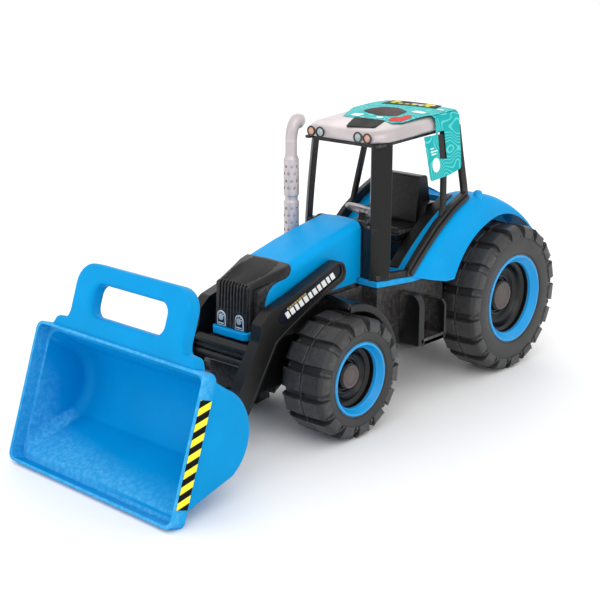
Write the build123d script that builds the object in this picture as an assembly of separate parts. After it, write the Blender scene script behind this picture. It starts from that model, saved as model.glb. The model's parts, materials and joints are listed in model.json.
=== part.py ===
from build123d import *
import os
from math import cos, hypot, radians, sin

os.makedirs("parts", exist_ok=True)

# Frame: +X forward, +Y the tractor's left, +Z up. The origin is on the ground, under the middle
# of the whole toy. All sizes are in millimetres.

# ---------------------------------------------------------------- driving dimensions
REAR_X = -201.0
WHEELBASE = 240.0
FRONT_X = REAR_X + WHEELBASE
REAR_R = 72.0
FRONT_R = 53.3
AXLE_R = 2.5
RUNNING_GAP = 0.08
SKIN = 2.5

CHASSIS_HALF = 26.5
BODY_HALF = 27.5
CAB_HALF = 57.0
FENDER_HALF = 61.5
TUB_HALF = 47.0
HOUSING_IN = 28.0

ARM_IN = 30.5
ARM_OUT = 41.5
LIFT_X = 22.0
LIFT_Z = 137.5
TILT_X = 159.0
TILT_Z = 31.0
PIN_R = 3.0

BUCKET_HALF = 96.5
RIM_HALF = 99.3
BUCKET_SKIN = 2.6
BACK_X = 226.0
BACK_Z = 57.0
BACK_R = 41.0

STEER_X = -61.0
STEER_Z = 171.0
STEER_LEAN = 28.0
STEER_R = 17.5

ROOF_HALF = 47.5
ROOF_FRONT = -25.0
ROOF_REAR = -146.0

SIDES = {"left": 1, "right": -1}


# ---------------------------------------------------------------- helpers
def slab(outline, y_low, y_high):
    """Prism between two Y planes from a closed XZ wire or a list of (x, z) corners."""
    if isinstance(outline, list):
        outline = Polyline(*[(x, 0, z) for x, z in outline], close=True)
    return slab_face(make_face(outline), y_low, y_high)


def slab_face(face, y_low, y_high):
    """Prism between two Y planes from a face in the XZ plane."""
    return Pos(0, y_low, 0) * extrude(face, amount=y_high - y_low, dir=(0, 1, 0))


def rounded(corners, radius):
    """Closed XZ wire through (x, z) corners, every corner rounded."""
    return FilletPolyline(*[(x, 0, z) for x, z in corners], radius=radius, close=True)


def block(x_low, x_high, y_low, y_high, z_low, z_high):
    """Box between six planes."""
    centre = ((x_low + x_high) / 2, (y_low + y_high) / 2, (z_low + z_high) / 2)
    return Pos(*centre) * Box(x_high - x_low, y_high - y_low, z_high - z_low)


def rod(x, z, radius, y_low, y_high):
    """Cylinder along Y."""
    return Pos(x, (y_low + y_high) / 2, z) * Rot(90, 0, 0) * Cylinder(radius, y_high - y_low)


def spun(profile, x, z, side):
    """Revolve (radius, y) corners about a wheel's axle, on one side of the toy."""
    face = make_face(Polyline(*[(r, y, 0) for r, y in profile], close=True))
    solid = revolve(face, Axis.Y, 360)
    if side < 0:
        solid = mirror(solid, Plane.XZ)
    return Pos(x, 0, z) * solid


def both(solid):
    """A solid and its mirror image across the toy's middle, as a group."""
    return Compound(children=[solid, mirror(solid, Plane.XZ)])


def save(name, solid):
    """Write one named piece."""
    export_step(solid, "parts/" + name + ".step")


# ---------------------------------------------------------------- wheels
# Each wheel is given on the left side: radii and Y stations, from the inside out.
REAR_WHEEL = {"x": REAR_X, "r": REAR_R, "inner": 33.0, "outer": 77.5, "seat": 43.0,
              "lip": 35.0, "step": 30.0, "boss": 15.5, "floor": 53.0, "hub_in": 36.0}
FRONT_WHEEL = {"x": FRONT_X, "r": FRONT_R, "inner": 36.0, "outer": 83.5, "seat": 32.5,
               "lip": 26.5, "step": 22.5, "boss": 12.0, "floor": 62.0, "hub_in": 38.0}
CAP_Y = 7.0
NUT_R = 6.0
SHOULDER = 6.0


def tyre(w, side):
    """Hollow-seated tyre: square shoulders with a broad chamfer, wall down to the rim seat."""
    r, y0, y1 = w["r"], w["inner"], w["outer"]
    profile = [(w["seat"], y0 + 2), (r - SHOULDER, y0), (r, y0 + SHOULDER), (r, y1 - SHOULDER),
               (r - SHOULDER, y1), (w["seat"], y1 - 1.5)]
    return spun(profile, w["x"], r, side)


def rim_ring(w, side):
    """Coloured ring that dishes in from the tyre to the hub pan."""
    y1 = w["outer"] - 1.5
    profile = [(w["seat"], y1), (w["lip"], y1 - 5.5), (w["lip"], y1 - 8), (w["seat"], y1 - 8)]
    return spun(profile, w["x"], w["r"], side)


def hub_pan(w, side):
    """Deep stepped pan with the axle boss in its middle."""
    y1 = w["outer"] - 9.5
    floor, bore, y0 = w["floor"], AXLE_R + RUNNING_GAP, w["hub_in"]
    profile = [(w["seat"], y1), (w["lip"], y1), (w["lip"], y1 - 4), (w["step"], y1 - 6),
               (w["step"], floor + 2), (w["boss"], floor), (w["boss"], floor + CAP_Y),
               (NUT_R + 1, floor + CAP_Y), (NUT_R + 1, floor + 2), (bore, floor + 2),
               (bore, y0), (NUT_R + 1, y0), (NUT_R + 1, floor - 3), (w["step"] + 3, floor - 3),
               (w["seat"] - 3, y0 + 2), (w["seat"], y0 + 2)]
    return spun(profile, w["x"], w["r"], side)


def hub_cap(w, side):
    """Low round cap over the axle's end."""
    y0 = w["floor"] + CAP_Y
    r = w["boss"] - 1.5
    profile = [(0, y0), (r, y0), (r, y0 + 1.6), (r * 0.75, y0 + 2.8), (0, y0 + 3.4)]
    return spun(profile, w["x"], w["r"], side)


def wheel(place, w, side_name):
    """Write the four pieces of one wheel."""
    side = SIDES[side_name]
    tag = place + "_" + side_name
    save("tyre_" + tag, tyre(w, side))
    save("rim_" + tag, rim_ring(w, side))
    save("hub_" + tag, hub_pan(w, side))
    save("cap_" + tag, hub_cap(w, side))


def axle(w):
    """Steel axle across the chassis, ending under the hub caps."""
    end = w["floor"] + CAP_Y - 1
    return rod(w["x"], w["r"], AXLE_R, -end, end)


def push_nuts(w):
    """The two push-on nuts that keep the wheels on their axle."""
    y0 = w["floor"] + 2.6
    nut = spun([(AXLE_R, y0), (NUT_R, y0), (NUT_R, y0 + 1.2), (AXLE_R, y0 + 2.2)], w["x"], w["r"], 1)
    return both(nut)


# ---------------------------------------------------------------- chassis and steps
CHASSIS_LOW = 46.0
CHASSIS_TOP = 88.0
FLOOR_Z = 116.0
FLOOR_SKIN = 3.0
STEP_OUT = 70.0
GUARD_R = FRONT_R + 10.2
GUARD_OUT = 72.0


def tub(x_low, x_high, half, z_low, z_high):
    """Box shell open underneath."""
    inside = block(x_low + 3, x_high - 3, 3 - half, half - 3, z_low - 1, z_high - 3)
    return block(x_low, x_high, -half, half, z_low, z_high) - inside


def axle_tube(body, w):
    """Give a tub the plain bearing tube of one axle."""
    reach = w["hub_in"] - 0.4
    return body + rod(w["x"], w["r"], 7.0, -reach, reach) - rod(w["x"], w["r"], AXLE_R + 0.03, -60, 60)


def chassis_front():
    """Narrow tub under the hood, with the front axle's tube."""
    return axle_tube(tub(-24, 112, CHASSIS_HALF, CHASSIS_LOW, CHASSIS_TOP), FRONT_WHEEL)


def chassis_middle():
    """Wide tub under the cab."""
    return tub(-122, -24, TUB_HALF, 58, FLOOR_Z)


def chassis_rear():
    """Narrow tub behind the cab, with the rear axle's tube."""
    return axle_tube(tub(-250, -122, CHASSIS_HALF, 52, FLOOR_Z), REAR_WHEEL)


def wheel_guard(side):
    """Guard: a shell over the front wheel's rear half, with a panel that closes it to the hood."""
    wheel_side = rod(FRONT_X, FRONT_R, GUARD_R, BODY_HALF, GUARD_OUT)
    shell = wheel_side - rod(FRONT_X, FRONT_R, GUARD_R - 3, 0, 80)
    panel = block(-24, 26, BODY_HALF, BODY_HALF + 2, 75, 113) - wheel_side
    solid = (shell & block(-24, 41, 0, 80, 62, 130)) + panel
    if side < 0:
        solid = mirror(solid, Plane.XZ)
    return solid


def step(side):
    """Footstep behind the front wheel's guard: front wall, tread and a back flap."""
    wall = Plane.YZ * (Pos(TUB_HALF / 2 + STEP_OUT / 2, 80) * Rectangle(STEP_OUT - TUB_HALF, 48))
    wall = fillet(wall.vertices().sort_by(Axis.Z)[-2:].sort_by(Axis.Y)[-1], 18)
    solid = Pos(-64, 0, 0) * extrude(wall, amount=8, dir=(1, 0, 0))
    solid += block(-94, -64, TUB_HALF, STEP_OUT, 56, 60)
    solid += block(-97, -94, TUB_HALF, STEP_OUT, 56, 93)
    if side < 0:
        solid = mirror(solid, Plane.XZ)
    return solid


def tow_hitch():
    """Hook plate on the chassis's rear wall."""
    plate = block(-254, -250, -12, 12, 60, 84)
    tongue = block(-268, -254, -8, 8, 62, 68)
    tongue -= Pos(-261, 0, 65) * Cylinder(3.2, 20)
    return plate + tongue


def body_screws():
    """Four self-tapping screws driven up into the cab floor, from under the chassis."""
    top = FLOOR_Z - 3
    screws = []
    for x in (-108, -40):
        for y in (-36, 36):
            shank = Pos(x, y, top - 2.5) * Cylinder(1.3, 5)
            head = Pos(x, y, top - 5.8) * Cylinder(3.0, 1.6)
            screws.append(shank + head)
    return Compound(children=screws)


# ---------------------------------------------------------------- blue body
HOOD_REAR = -26.0
HOOD_REAR_Z = 172.0
HOOD_FRONT = 66.0
HOOD_FRONT_Z = 150.0
HOOD_LOW = CHASSIS_TOP
NOSE_EDGE = [(HOOD_FRONT, HOOD_FRONT_Z), (91, 131), (99, 119)]


def hood():
    """Hood shell: roof line rising to the cab, straight sides, open below and behind."""
    side = [(HOOD_REAR, FLOOR_Z + 4), (HOOD_REAR, HOOD_REAR_Z)] + NOSE_EDGE
    side += [(99, HOOD_LOW), (SILL_FRONT, HOOD_LOW), (SILL_FRONT, FLOOR_Z + 4)]
    shell = slab(side, -BODY_HALF, BODY_HALF)
    long_edges = shell.edges().filter_by_position(Axis.Y, -BODY_HALF, -BODY_HALF)
    long_edges += shell.edges().filter_by_position(Axis.Y, BODY_HALF, BODY_HALF)
    roof_edges = [e for e in long_edges if e.center().Z > 160]
    shell = fillet(roof_edges, 7)
    room = [(HOOD_REAR, FLOOR_Z + 4), (HOOD_REAR, HOOD_REAR_Z - SKIN), (HOOD_FRONT, HOOD_FRONT_Z - 3)]
    room += [(89, 129.6), (96, 118), (96, HOOD_LOW), (-18, HOOD_LOW), (-18, FLOOR_Z + 4)]
    shell -= slab(room, SKIN - BODY_HALF, BODY_HALF - SKIN)
    shell -= rod(LIFT_X, LIFT_Z, PIN_R + 0.03, -40, 40)
    return shell


def nose_cowl():
    """Black nose: sloping lid, grille bulge down the middle, set-back cheeks."""
    cheek = NOSE_EDGE + [(99, 98), (103, 98), (105, 138.2)]
    solid = slab(cheek, -BODY_HALF + 0.5, BODY_HALF - 0.5)
    lid = [(88, 143.3), (109.5, 137), (112, 98), (100, 98), (100, 130)]
    solid += slab(lid, -18.5, 18.5)
    hollow = [(93, 134), (101, 133), (101, 101), (104, 101), (104, 134), (94, 137)]
    solid -= slab(hollow, -15, 15)
    return solid


def nose_ledge():
    """Small body-coloured shelf under the headlights."""
    return slab([(99, 90), (99, 98), (113.5, 98), (116, 94), (112, 90)], -19.5, 19.5)


def headlights():
    """Two arched headlight plates on the grille's lower front."""
    plate = Plane.YZ * (Pos(10.6, 104.4) * RectangleRounded(9.5, 12, 3.4))
    lamp = Pos(112.1, 0, 0) * extrude(plate, amount=0.6, dir=(1, 0, 0))
    return both(lamp)


HOUSING_ARCS = [[(-61, 119), (-101, 153), (-144, 177.3)], [(-144, 177.3), (-172, 176.8), (-200, 168)],
                [(-200, 168), (-229, 152.5), (-254, 133)]]
ARCH_X = REAR_X + 7.5
ARCH_R = REAR_R + 9.5
KNOB = (-163, 54, 177.5)
SILL_FRONT = HOOD_REAR + 3
SILL_LOW = 114.0
FLOOR_PLAN = [(SILL_FRONT, 47), (-62, CAB_HALF), (-130, CAB_HALF)]


def housing_face(skirt):
    """Side face of a rear wheel housing; with a skirt it runs down over the chassis side."""
    top = [ThreePointArc(*[(x, 0, z) for x, z in arc]) for arc in HOUSING_ARCS]
    corners = [(-254, 133), (-252, 119), (-61, 119)]
    if skirt:
        corners = [(-254, 133), (-252, 106), (-108, 106), (-61, 119)]
    return make_face(top + Polyline(*[(x, 0, z) for x, z in corners]).edges())


def floor_plan(inset):
    """Closed (x, y) outline of the cab floor, narrower towards the hood."""
    left = [(FLOOR_PLAN[0][0] - inset, FLOOR_PLAN[0][1] - inset)]
    left += [(FLOOR_PLAN[1][0], FLOOR_PLAN[1][1] - inset), (FLOOR_PLAN[2][0], FLOOR_PLAN[2][1] - inset)]
    return left + [(x, -y) for x, y in reversed(left)]


def cab_floor():
    """Floor of the cab, with a deeper sill round the doors, and the back wall behind the seat."""
    plan = Polyline(*[(x, y, SILL_LOW) for x, y in floor_plan(0)], close=True)
    plate = extrude(make_face(plan), amount=FLOOR_Z + FLOOR_SKIN - SILL_LOW, dir=(0, 0, 1))
    room = Polyline(*[(x, y, SILL_LOW) for x, y in floor_plan(2)], close=True)
    plate -= extrude(make_face(room), amount=FLOOR_Z - SILL_LOW, dir=(0, 0, 1))
    plate -= block(-122, -24, -TUB_HALF, TUB_HALF, 100, FLOOR_Z)
    back = block(-252, -130, -HOUSING_IN, HOUSING_IN, FLOOR_Z, FLOOR_Z + FLOOR_SKIN)
    wall = block(-160, -157, -HOUSING_IN, HOUSING_IN, FLOOR_Z + FLOOR_SKIN, 172)
    return plate + back + wall


def fender(side):
    """Wheel housing: inner wall, curved top with a small knob, and an outer plate with a round arch."""
    solid = slab_face(housing_face(False), HOUSING_IN, CAB_HALF)
    solid -= slab_face(offset(housing_face(False), -SKIN), HOUSING_IN + SKIN, CAB_HALF - SKIN)
    arch = rod(ARCH_X, REAR_R + 1, ARCH_R, HOUSING_IN + SKIN, FENDER_HALF + 5)
    solid = (solid - arch) + (slab_face(housing_face(True), CAB_HALF, FENDER_HALF) - arch)
    solid += Pos(*KNOB) * Cylinder(4, 10)
    if side < 0:
        solid = mirror(solid, Plane.XZ)
    return solid


# ---------------------------------------------------------------- cab
PILLAR_TOP = 240.0


def pillar(foot, head, deep, wide, turn=0):
    """Slanting post between two (x, y, z) centres; turn is the section's angle seen from above."""
    low = Plane(origin=foot) * Rot(0, 0, turn) * Rectangle(deep, wide)
    high = Plane(origin=head) * Rot(0, 0, turn) * Rectangle(deep, wide)
    return loft([low, high])


RAIL_IN = CAB_HALF - 7


def cab_side(side):
    """One side of the cab frame: corner plate, two posts, the curved foot rail and the roof rail."""
    outer = [(-62, 119), (-82, 137.5), (-101, 152.3), (-123.5, 167.3), (-148.5, 178.3)]
    inner = [(-140.5, 186.3), (-117.5, 176.8), (-94.5, 162.3), (-75.5, 146.3), (-56, 129), (-54, 119)]
    rail = slab(outer + inner, RAIL_IN, CAB_HALF)
    front = pillar((-31.5, 42.5, 119), (-38, 38.5, PILLAR_TOP), 18, 5, 137)
    middle = pillar((-110.5, 53.5, 165), (-119, 42.5, PILLAR_TOP + 4), 7, 4.5)
    back = pillar((-141.5, 53.5, 181), (-139, 42.5, PILLAR_TOP + 6), 8, 5)
    foot = loft([Plane.YZ.offset(-62) * Pos(53.5, 123) * Rectangle(7, 8),
                 Plane.YZ.offset(-34) * Pos(43.5, 123) * Rectangle(7, 8)])
    housing = slab_face(housing_face(False), 40, 70)
    top = slab([(-28, 236), (-145, 242), (-145, 246.4), (-28, 240)], 38, 44)
    frame = (rail + front + middle + back + foot + top) - housing
    if side < 0:
        frame = mirror(frame, Plane.XZ)
    return frame


def between_sides(solid):
    """What is left of a solid where the two side frames are taken away."""
    return solid - cab_side(1) - cab_side(-1)


def cab_dash():
    """Dash wall round the hood's end."""
    dash = block(-38, HOOD_REAR, -40, 40, FLOOR_Z + FLOOR_SKIN, 170)
    dash -= block(-60, HOOD_REAR - 3, -36, 36, 100, 166)
    dash -= block(-60, 0, -BODY_HALF + 4, BODY_HALF - 4, 100, 166)
    return between_sides(dash)


def cab_rails():
    """Cross rails under the roof's front and back."""
    rails = block(-36, -32, -34, 34, 236, 240) + block(-145, -141, -39, 39, 242, 246)
    return between_sides(rails)


def roof():
    """Roof shell, thicker at its edge and rising a little to the back, with rounded corners."""
    middle = (ROOF_FRONT + ROOF_REAR) / 2
    plan = Pos(middle, 0, 0) * RectangleRounded(ROOF_FRONT - ROOF_REAR, 2 * ROOF_HALF, 17)
    solid = extrude(plan, amount=300, dir=(0, 0, 1))
    keep = slab([(-10, 240), (-10, 247), (-30, 251), (-90, 259), (-146, 261), (-160, 261), (-160, 247.5)],
                -60, 60)
    solid = solid & keep
    under = slab([(-28.5, 239), (-28.5, 245), (-90, 255), (-142.5, 257), (-142.5, 240)], -44.5, 44.5)
    return solid - under


def roof_lamps(y, radius):
    """A pair of round lamps on the roof's front edge."""
    lamp = Pos(ROOF_FRONT + 0.8, y, 245.3) * Rot(0, 90, 0) * Cylinder(radius, 1.6)
    return both(lamp)


def roof_sticker():
    """Printed card lying on the roof's slope."""
    low = [(-52, 254.0), (-90, 259.0), (-138, 260.72), (-138, 261.1), (-90, 259.4), (-52, 254.4)]
    return slab(low, -40, 34)


TAG_LEAN = 6.0


def hang_tag():
    """Card that folds over the roof's rear left edge and hangs outside the cab, with a window in it."""
    outline = [(-88, 200), (-142, 200), (-142, 258), (-104, 258), (-104, 243), (-88, 243)]
    window = block(-122, -113, ROOF_HALF - 1, ROOF_HALF + 2, 217, 240)
    card = slab(outline, ROOF_HALF + 0.2, ROOF_HALF + 0.9) - window
    return Pos(0, ROOF_HALF + 0.2, 258) * Rot(TAG_LEAN, 0, 0) * Pos(0, -ROOF_HALF - 0.2, -258) * card


def seat():
    """One-piece seat: cushion on a box base, shoulders behind it and a narrower backrest."""
    base = slab([(-138, 119), (-92, 119), (-84, 143), (-138, 143)], -24, 24)
    cushion = slab(rounded([(-138, 143), (-80, 143), (-76, 149), (-80, 155), (-138, 152)], 2), -24, 24)
    shoulders = slab(rounded([(-141, 146), (-114, 146), (-120, 174), (-139, 172)], 3), -27, 27)
    back = slab(rounded([(-138, 150), (-112, 150), (-116, 198), (-129, 198)], 3), -20.5, 20.5)
    return base + cushion + shoulders + back


def steering_column():
    """Leaning post from the floor to the steering wheel, with the pin that the wheel turns on."""
    post = Pos(0, 0, -34) * Cylinder(4, 60)
    pin = Pos(0, 0, 0) * Cylinder(2, 10)
    placed = Pos(STEER_X, 0, STEER_Z) * Rot(0, -STEER_LEAN, 0) * (post + pin)
    return placed & block(STEER_X - 15, HOOD_REAR - 3, -20, 20, FLOOR_Z + FLOOR_SKIN, 300)


def steering_wheel():
    """Thin ring on four spokes and a hub, free to turn on the column's pin."""
    wheel_solid = Torus(STEER_R, 2.0) + Cylinder(5, 6)
    for turn in range(4):
        spoke = Pos(STEER_R / 2, 0, 0) * Box(STEER_R, 2.4, 2.0)
        wheel_solid += Rot(0, 0, 45 + 90 * turn) * spoke
    wheel_solid -= Cylinder(2 + RUNNING_GAP, 20)
    return Pos(STEER_X, 0, STEER_Z) * Rot(0, -STEER_LEAN, 0) * wheel_solid


# ---------------------------------------------------------------- exhaust
STACK_X = -1.0
STACK_Y = -35.5


def pipe(radius, z_low, z_high):
    """Upright cylinder on the exhaust's line."""
    return Pos(STACK_X, STACK_Y, (z_low + z_high) / 2) * Cylinder(radius, z_high - z_low)


def exhaust_stack():
    """Silver stack: bracket on the hood, two sleeves with a groove between them, and a neck."""
    stack = pipe(6.8, 150, 185) + pipe(5.8, 185, 190) + pipe(6.8, 190, 223) + pipe(5.25, 223, 240)
    stack += block(STACK_X - 4, STACK_X + 4, STACK_Y, -BODY_HALF, 150, 158)
    return stack


def exhaust_tip():
    """Curved outlet on top of the neck, cut off square and facing back."""
    elbow = (STACK_X - 3, STACK_Y, 251.5)
    bend = ThreePointArc((STACK_X, STACK_Y, 240), elbow, (STACK_X - 12, STACK_Y, 256))
    ring = Plane(origin=(STACK_X, STACK_Y, 240), z_dir=(0, 0, 1)) * Circle(6.0)
    return sweep(ring, path=bend)


# ---------------------------------------------------------------- loader arms
ARM_OUTLINE = [(16, 148.3), (80, 127), (107, 119.5), (117.5, 111), (120, 97), (143, 61), (157, 43.5),
               (171, 32), (162, 20), (148, 22), (133, 38), (122, 53), (106, 78), (98, 91), (77, 102),
               (38, 120), (10, 129.5)]


def arm(side):
    """Cranked loader arm with a rounded rear eye and a label recess in its outer face."""
    solid = slab(rounded(ARM_OUTLINE, 5.5), ARM_IN, ARM_OUT)
    solid -= slab(rounded([(24, 139.5), (99, 116), (96, 105.5), (22, 131)], 4), ARM_OUT - 1.2, ARM_OUT + 1)
    solid -= rod(LIFT_X, LIFT_Z, PIN_R + RUNNING_GAP, ARM_IN - 1, ARM_OUT + 1)
    solid -= rod(TILT_X, TILT_Z, PIN_R, ARM_IN - 1, ARM_OUT + 1)
    if side < 0:
        solid = mirror(solid, Plane.XZ)
    return solid


def arm_labels():
    """Printed strips lying in the arms' recesses."""
    outline = rounded([(28, 136), (96, 114), (93.5, 108.5), (27, 130.5)], 2)
    strip = slab(outline, ARM_OUT - 1.2, ARM_OUT - 0.8)
    return both(strip)


def arm_crossbar():
    """Ridged bar that ties the two arms together in front of the nose."""
    bar = block(118.2, 125.5, -ARM_IN, ARM_IN, 76, 91)
    bar -= block(124.5, 126, -ARM_IN + 4, ARM_IN - 4, 82, 85)
    return bar


def lift_pin():
    """Headed pin through the hood that both arms turn on."""
    pin = rod(LIFT_X, LIFT_Z, PIN_R, -ARM_OUT - 0.6, ARM_OUT + 0.6)
    pin += rod(LIFT_X, LIFT_Z, 5, ARM_OUT + 0.6, ARM_OUT + 2)
    pin += rod(LIFT_X, LIFT_Z, 5, -ARM_OUT - 2, -ARM_OUT - 0.6)
    return pin


# ---------------------------------------------------------------- bucket
LUG_IN = 17.0
LUG_OUT = ARM_IN - 0.6
BAND = [(222.5, 107.5), (234.5, 113.8), (272.5, 3.2), (251, 7.5)]
MOUTH_LEAN = 18.96
HANDLE_DEEP = 14.0
HANDLE_TALL = 55.0
FINGER_HALF = 43.0


def bucket_line(grow):
    """Closed side outline of the bucket, pulled in by -grow: straight mouth, round back."""
    r = BACK_R + grow
    a, b = radians(118), radians(238)
    mid = radians(178)
    start = (BACK_X + r * cos(a), 0, BACK_Z + r * sin(a))
    end = (BACK_X + r * cos(b), 0, BACK_Z + r * sin(b))
    middle = (BACK_X + r * cos(mid), 0, BACK_Z + r * sin(mid))
    top = (234.5, 0, 113.8 + grow)
    lip = (272.5, 0, 3.2 - grow)
    return ThreePointArc(start, middle, end) + Polyline(end, lip, top, start)


def bucket():
    """Open bucket: round back, flat floor, side walls and a wider band round the mouth."""
    body = slab(bucket_line(0), -BUCKET_HALF, BUCKET_HALF)
    band = slab(BAND, -RIM_HALF, RIM_HALF)
    room = slab(bucket_line(-BUCKET_SKIN), BUCKET_SKIN - BUCKET_HALF, BUCKET_HALF - BUCKET_SKIN)
    mouth = [(222, 104.5), (260, 118), (300, 12), (272.5, 6.0), (251, 10.2)]
    cup = body + band - room - slab(mouth, BUCKET_SKIN - RIM_HALF, RIM_HALF - BUCKET_SKIN)
    return cup


def bucket_handle():
    """Carrying handle in line with the mouth: a wide stepped root and a hoop round the finger gap."""
    root = block(-HANDLE_DEEP, 0, -80, 80, -12, 5)
    hoop = block(-HANDLE_DEEP, 0, -66, 66, 5, HANDLE_TALL)
    hoop = fillet([e for e in hoop.edges().filter_by(Axis.X) if e.center().Z > 40], 17)
    gap = block(-HANDLE_DEEP - 5, 5, -FINGER_HALF, FINGER_HALF, 14, 40)
    gap = fillet(gap.edges().filter_by(Axis.X), 9)
    placed = Pos(232, 0, 115) * Rot(0, -MOUTH_LEAN, 0) * (root + hoop - gap)
    return placed - slab(bucket_line(0), -100, 100) - slab(BAND, -100, 100)


def bucket_lugs():
    """Two hinge ears on the bucket's back, between the arms."""
    outline = rounded([(151, 39), (151, 22), (166, 22), (200, 16), (200, 50), (166, 40)], 4)
    ear = slab(outline, LUG_IN, LUG_OUT)
    ear -= slab(bucket_line(0), 0, 60)
    ear -= rod(TILT_X, TILT_Z, PIN_R + RUNNING_GAP, 0, 60)
    return both(ear)


def bucket_pins():
    """Pins fixed in the arms' lower eyes that the bucket's ears turn on."""
    pin = rod(TILT_X, TILT_Z, PIN_R, LUG_IN - 1, ARM_OUT)
    pin += rod(TILT_X, TILT_Z, 5, LUG_IN - 2.5, LUG_IN - 1)
    pin += rod(TILT_X, TILT_Z, 5, ARM_OUT, ARM_OUT + 1.5)
    return both(pin)


def hazard_strips():
    """Striped stickers on the band at the bucket's two sides."""
    strip = slab([(223.5, 96), (236.5, 98.5), (264, 16.5), (247.5, 16.5)], RIM_HALF, RIM_HALF + 0.25)
    return both(strip)


# ---------------------------------------------------------------- write every piece
PIECES = {
    "chassis_front": chassis_front, "chassis_middle": chassis_middle, "chassis_rear": chassis_rear,
    "tow_hitch": tow_hitch, "body_screws": body_screws,
    "hood": hood, "nose_cowl": nose_cowl, "nose_ledge": nose_ledge, "headlights": headlights,
    "cab_floor": cab_floor, "cab_dash": cab_dash, "cab_rails": cab_rails,
    "roof": roof, "roof_sticker": roof_sticker,
    "hang_tag": hang_tag, "seat": seat, "steering_column": steering_column,
    "steering_wheel": steering_wheel, "exhaust_stack": exhaust_stack, "exhaust_tip": exhaust_tip,
    "lift_pin": lift_pin, "arm_labels": arm_labels, "arm_crossbar": arm_crossbar,
    "bucket_pins": bucket_pins, "bucket": bucket, "bucket_handle": bucket_handle,
    "bucket_lugs": bucket_lugs, "hazard_strips": hazard_strips,
}

for piece_name, make in PIECES.items():
    save(piece_name, make())

save("roof_lamps_clear", roof_lamps(21.9, 4.6))
save("roof_lamps_amber", roof_lamps(32.6, 4.6))

for side_name, sign in SIDES.items():
    save("step_" + side_name, step(sign))
    save("guard_" + side_name, wheel_guard(sign))
    save("fender_" + side_name, fender(sign))
    save("arm_" + side_name, arm(sign))
    save("cab_side_" + side_name, cab_side(sign))
    wheel("rear", REAR_WHEEL, side_name)
    wheel("front", FRONT_WHEEL, side_name)

for axle_name, w_spec in (("rear", REAR_WHEEL), ("front", FRONT_WHEEL)):
    save(axle_name + "_axle", axle(w_spec))
    save(axle_name + "_push_nuts", push_nuts(w_spec))
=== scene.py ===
import json
import math

import bmesh
import bpy
from mathutils import Matrix, Vector


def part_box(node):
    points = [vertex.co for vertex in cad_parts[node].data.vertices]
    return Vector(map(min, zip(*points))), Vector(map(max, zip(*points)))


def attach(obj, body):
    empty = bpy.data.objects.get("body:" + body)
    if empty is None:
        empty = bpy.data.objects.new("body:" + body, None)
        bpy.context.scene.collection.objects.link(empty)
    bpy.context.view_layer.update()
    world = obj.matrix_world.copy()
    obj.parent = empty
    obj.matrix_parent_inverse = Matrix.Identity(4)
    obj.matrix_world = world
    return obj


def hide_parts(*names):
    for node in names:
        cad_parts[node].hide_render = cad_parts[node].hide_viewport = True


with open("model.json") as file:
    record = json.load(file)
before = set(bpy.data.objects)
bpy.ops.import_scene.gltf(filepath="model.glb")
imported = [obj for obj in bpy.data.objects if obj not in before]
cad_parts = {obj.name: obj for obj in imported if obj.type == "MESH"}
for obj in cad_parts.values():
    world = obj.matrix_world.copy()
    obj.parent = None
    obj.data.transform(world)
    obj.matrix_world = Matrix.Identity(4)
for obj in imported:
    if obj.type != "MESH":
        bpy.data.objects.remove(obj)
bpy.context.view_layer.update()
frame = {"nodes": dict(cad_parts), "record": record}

# Sizes in this script are millimetres in the frame's axes: +X forward, +Y the tractor's left, +Z up.
# Pieces are scaled to metres where they are made.
MM = 0.001
SIDES = (("left", 1), ("right", -1))


def srgb(red, green, blue):
    """Linear colour from a display colour given as 0 to 255."""
    def linear(value):
        value /= 255
        return value / 12.92 if value <= 0.04045 else ((value + 0.055) / 1.055) ** 2.4
    return (linear(red), linear(green), linear(blue), 1)


def node_box(name):
    """Lowest and highest corners of a CAD node, in millimetres."""
    low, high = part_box(name)
    return Vector(low) / MM, Vector(high) / MM


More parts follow.
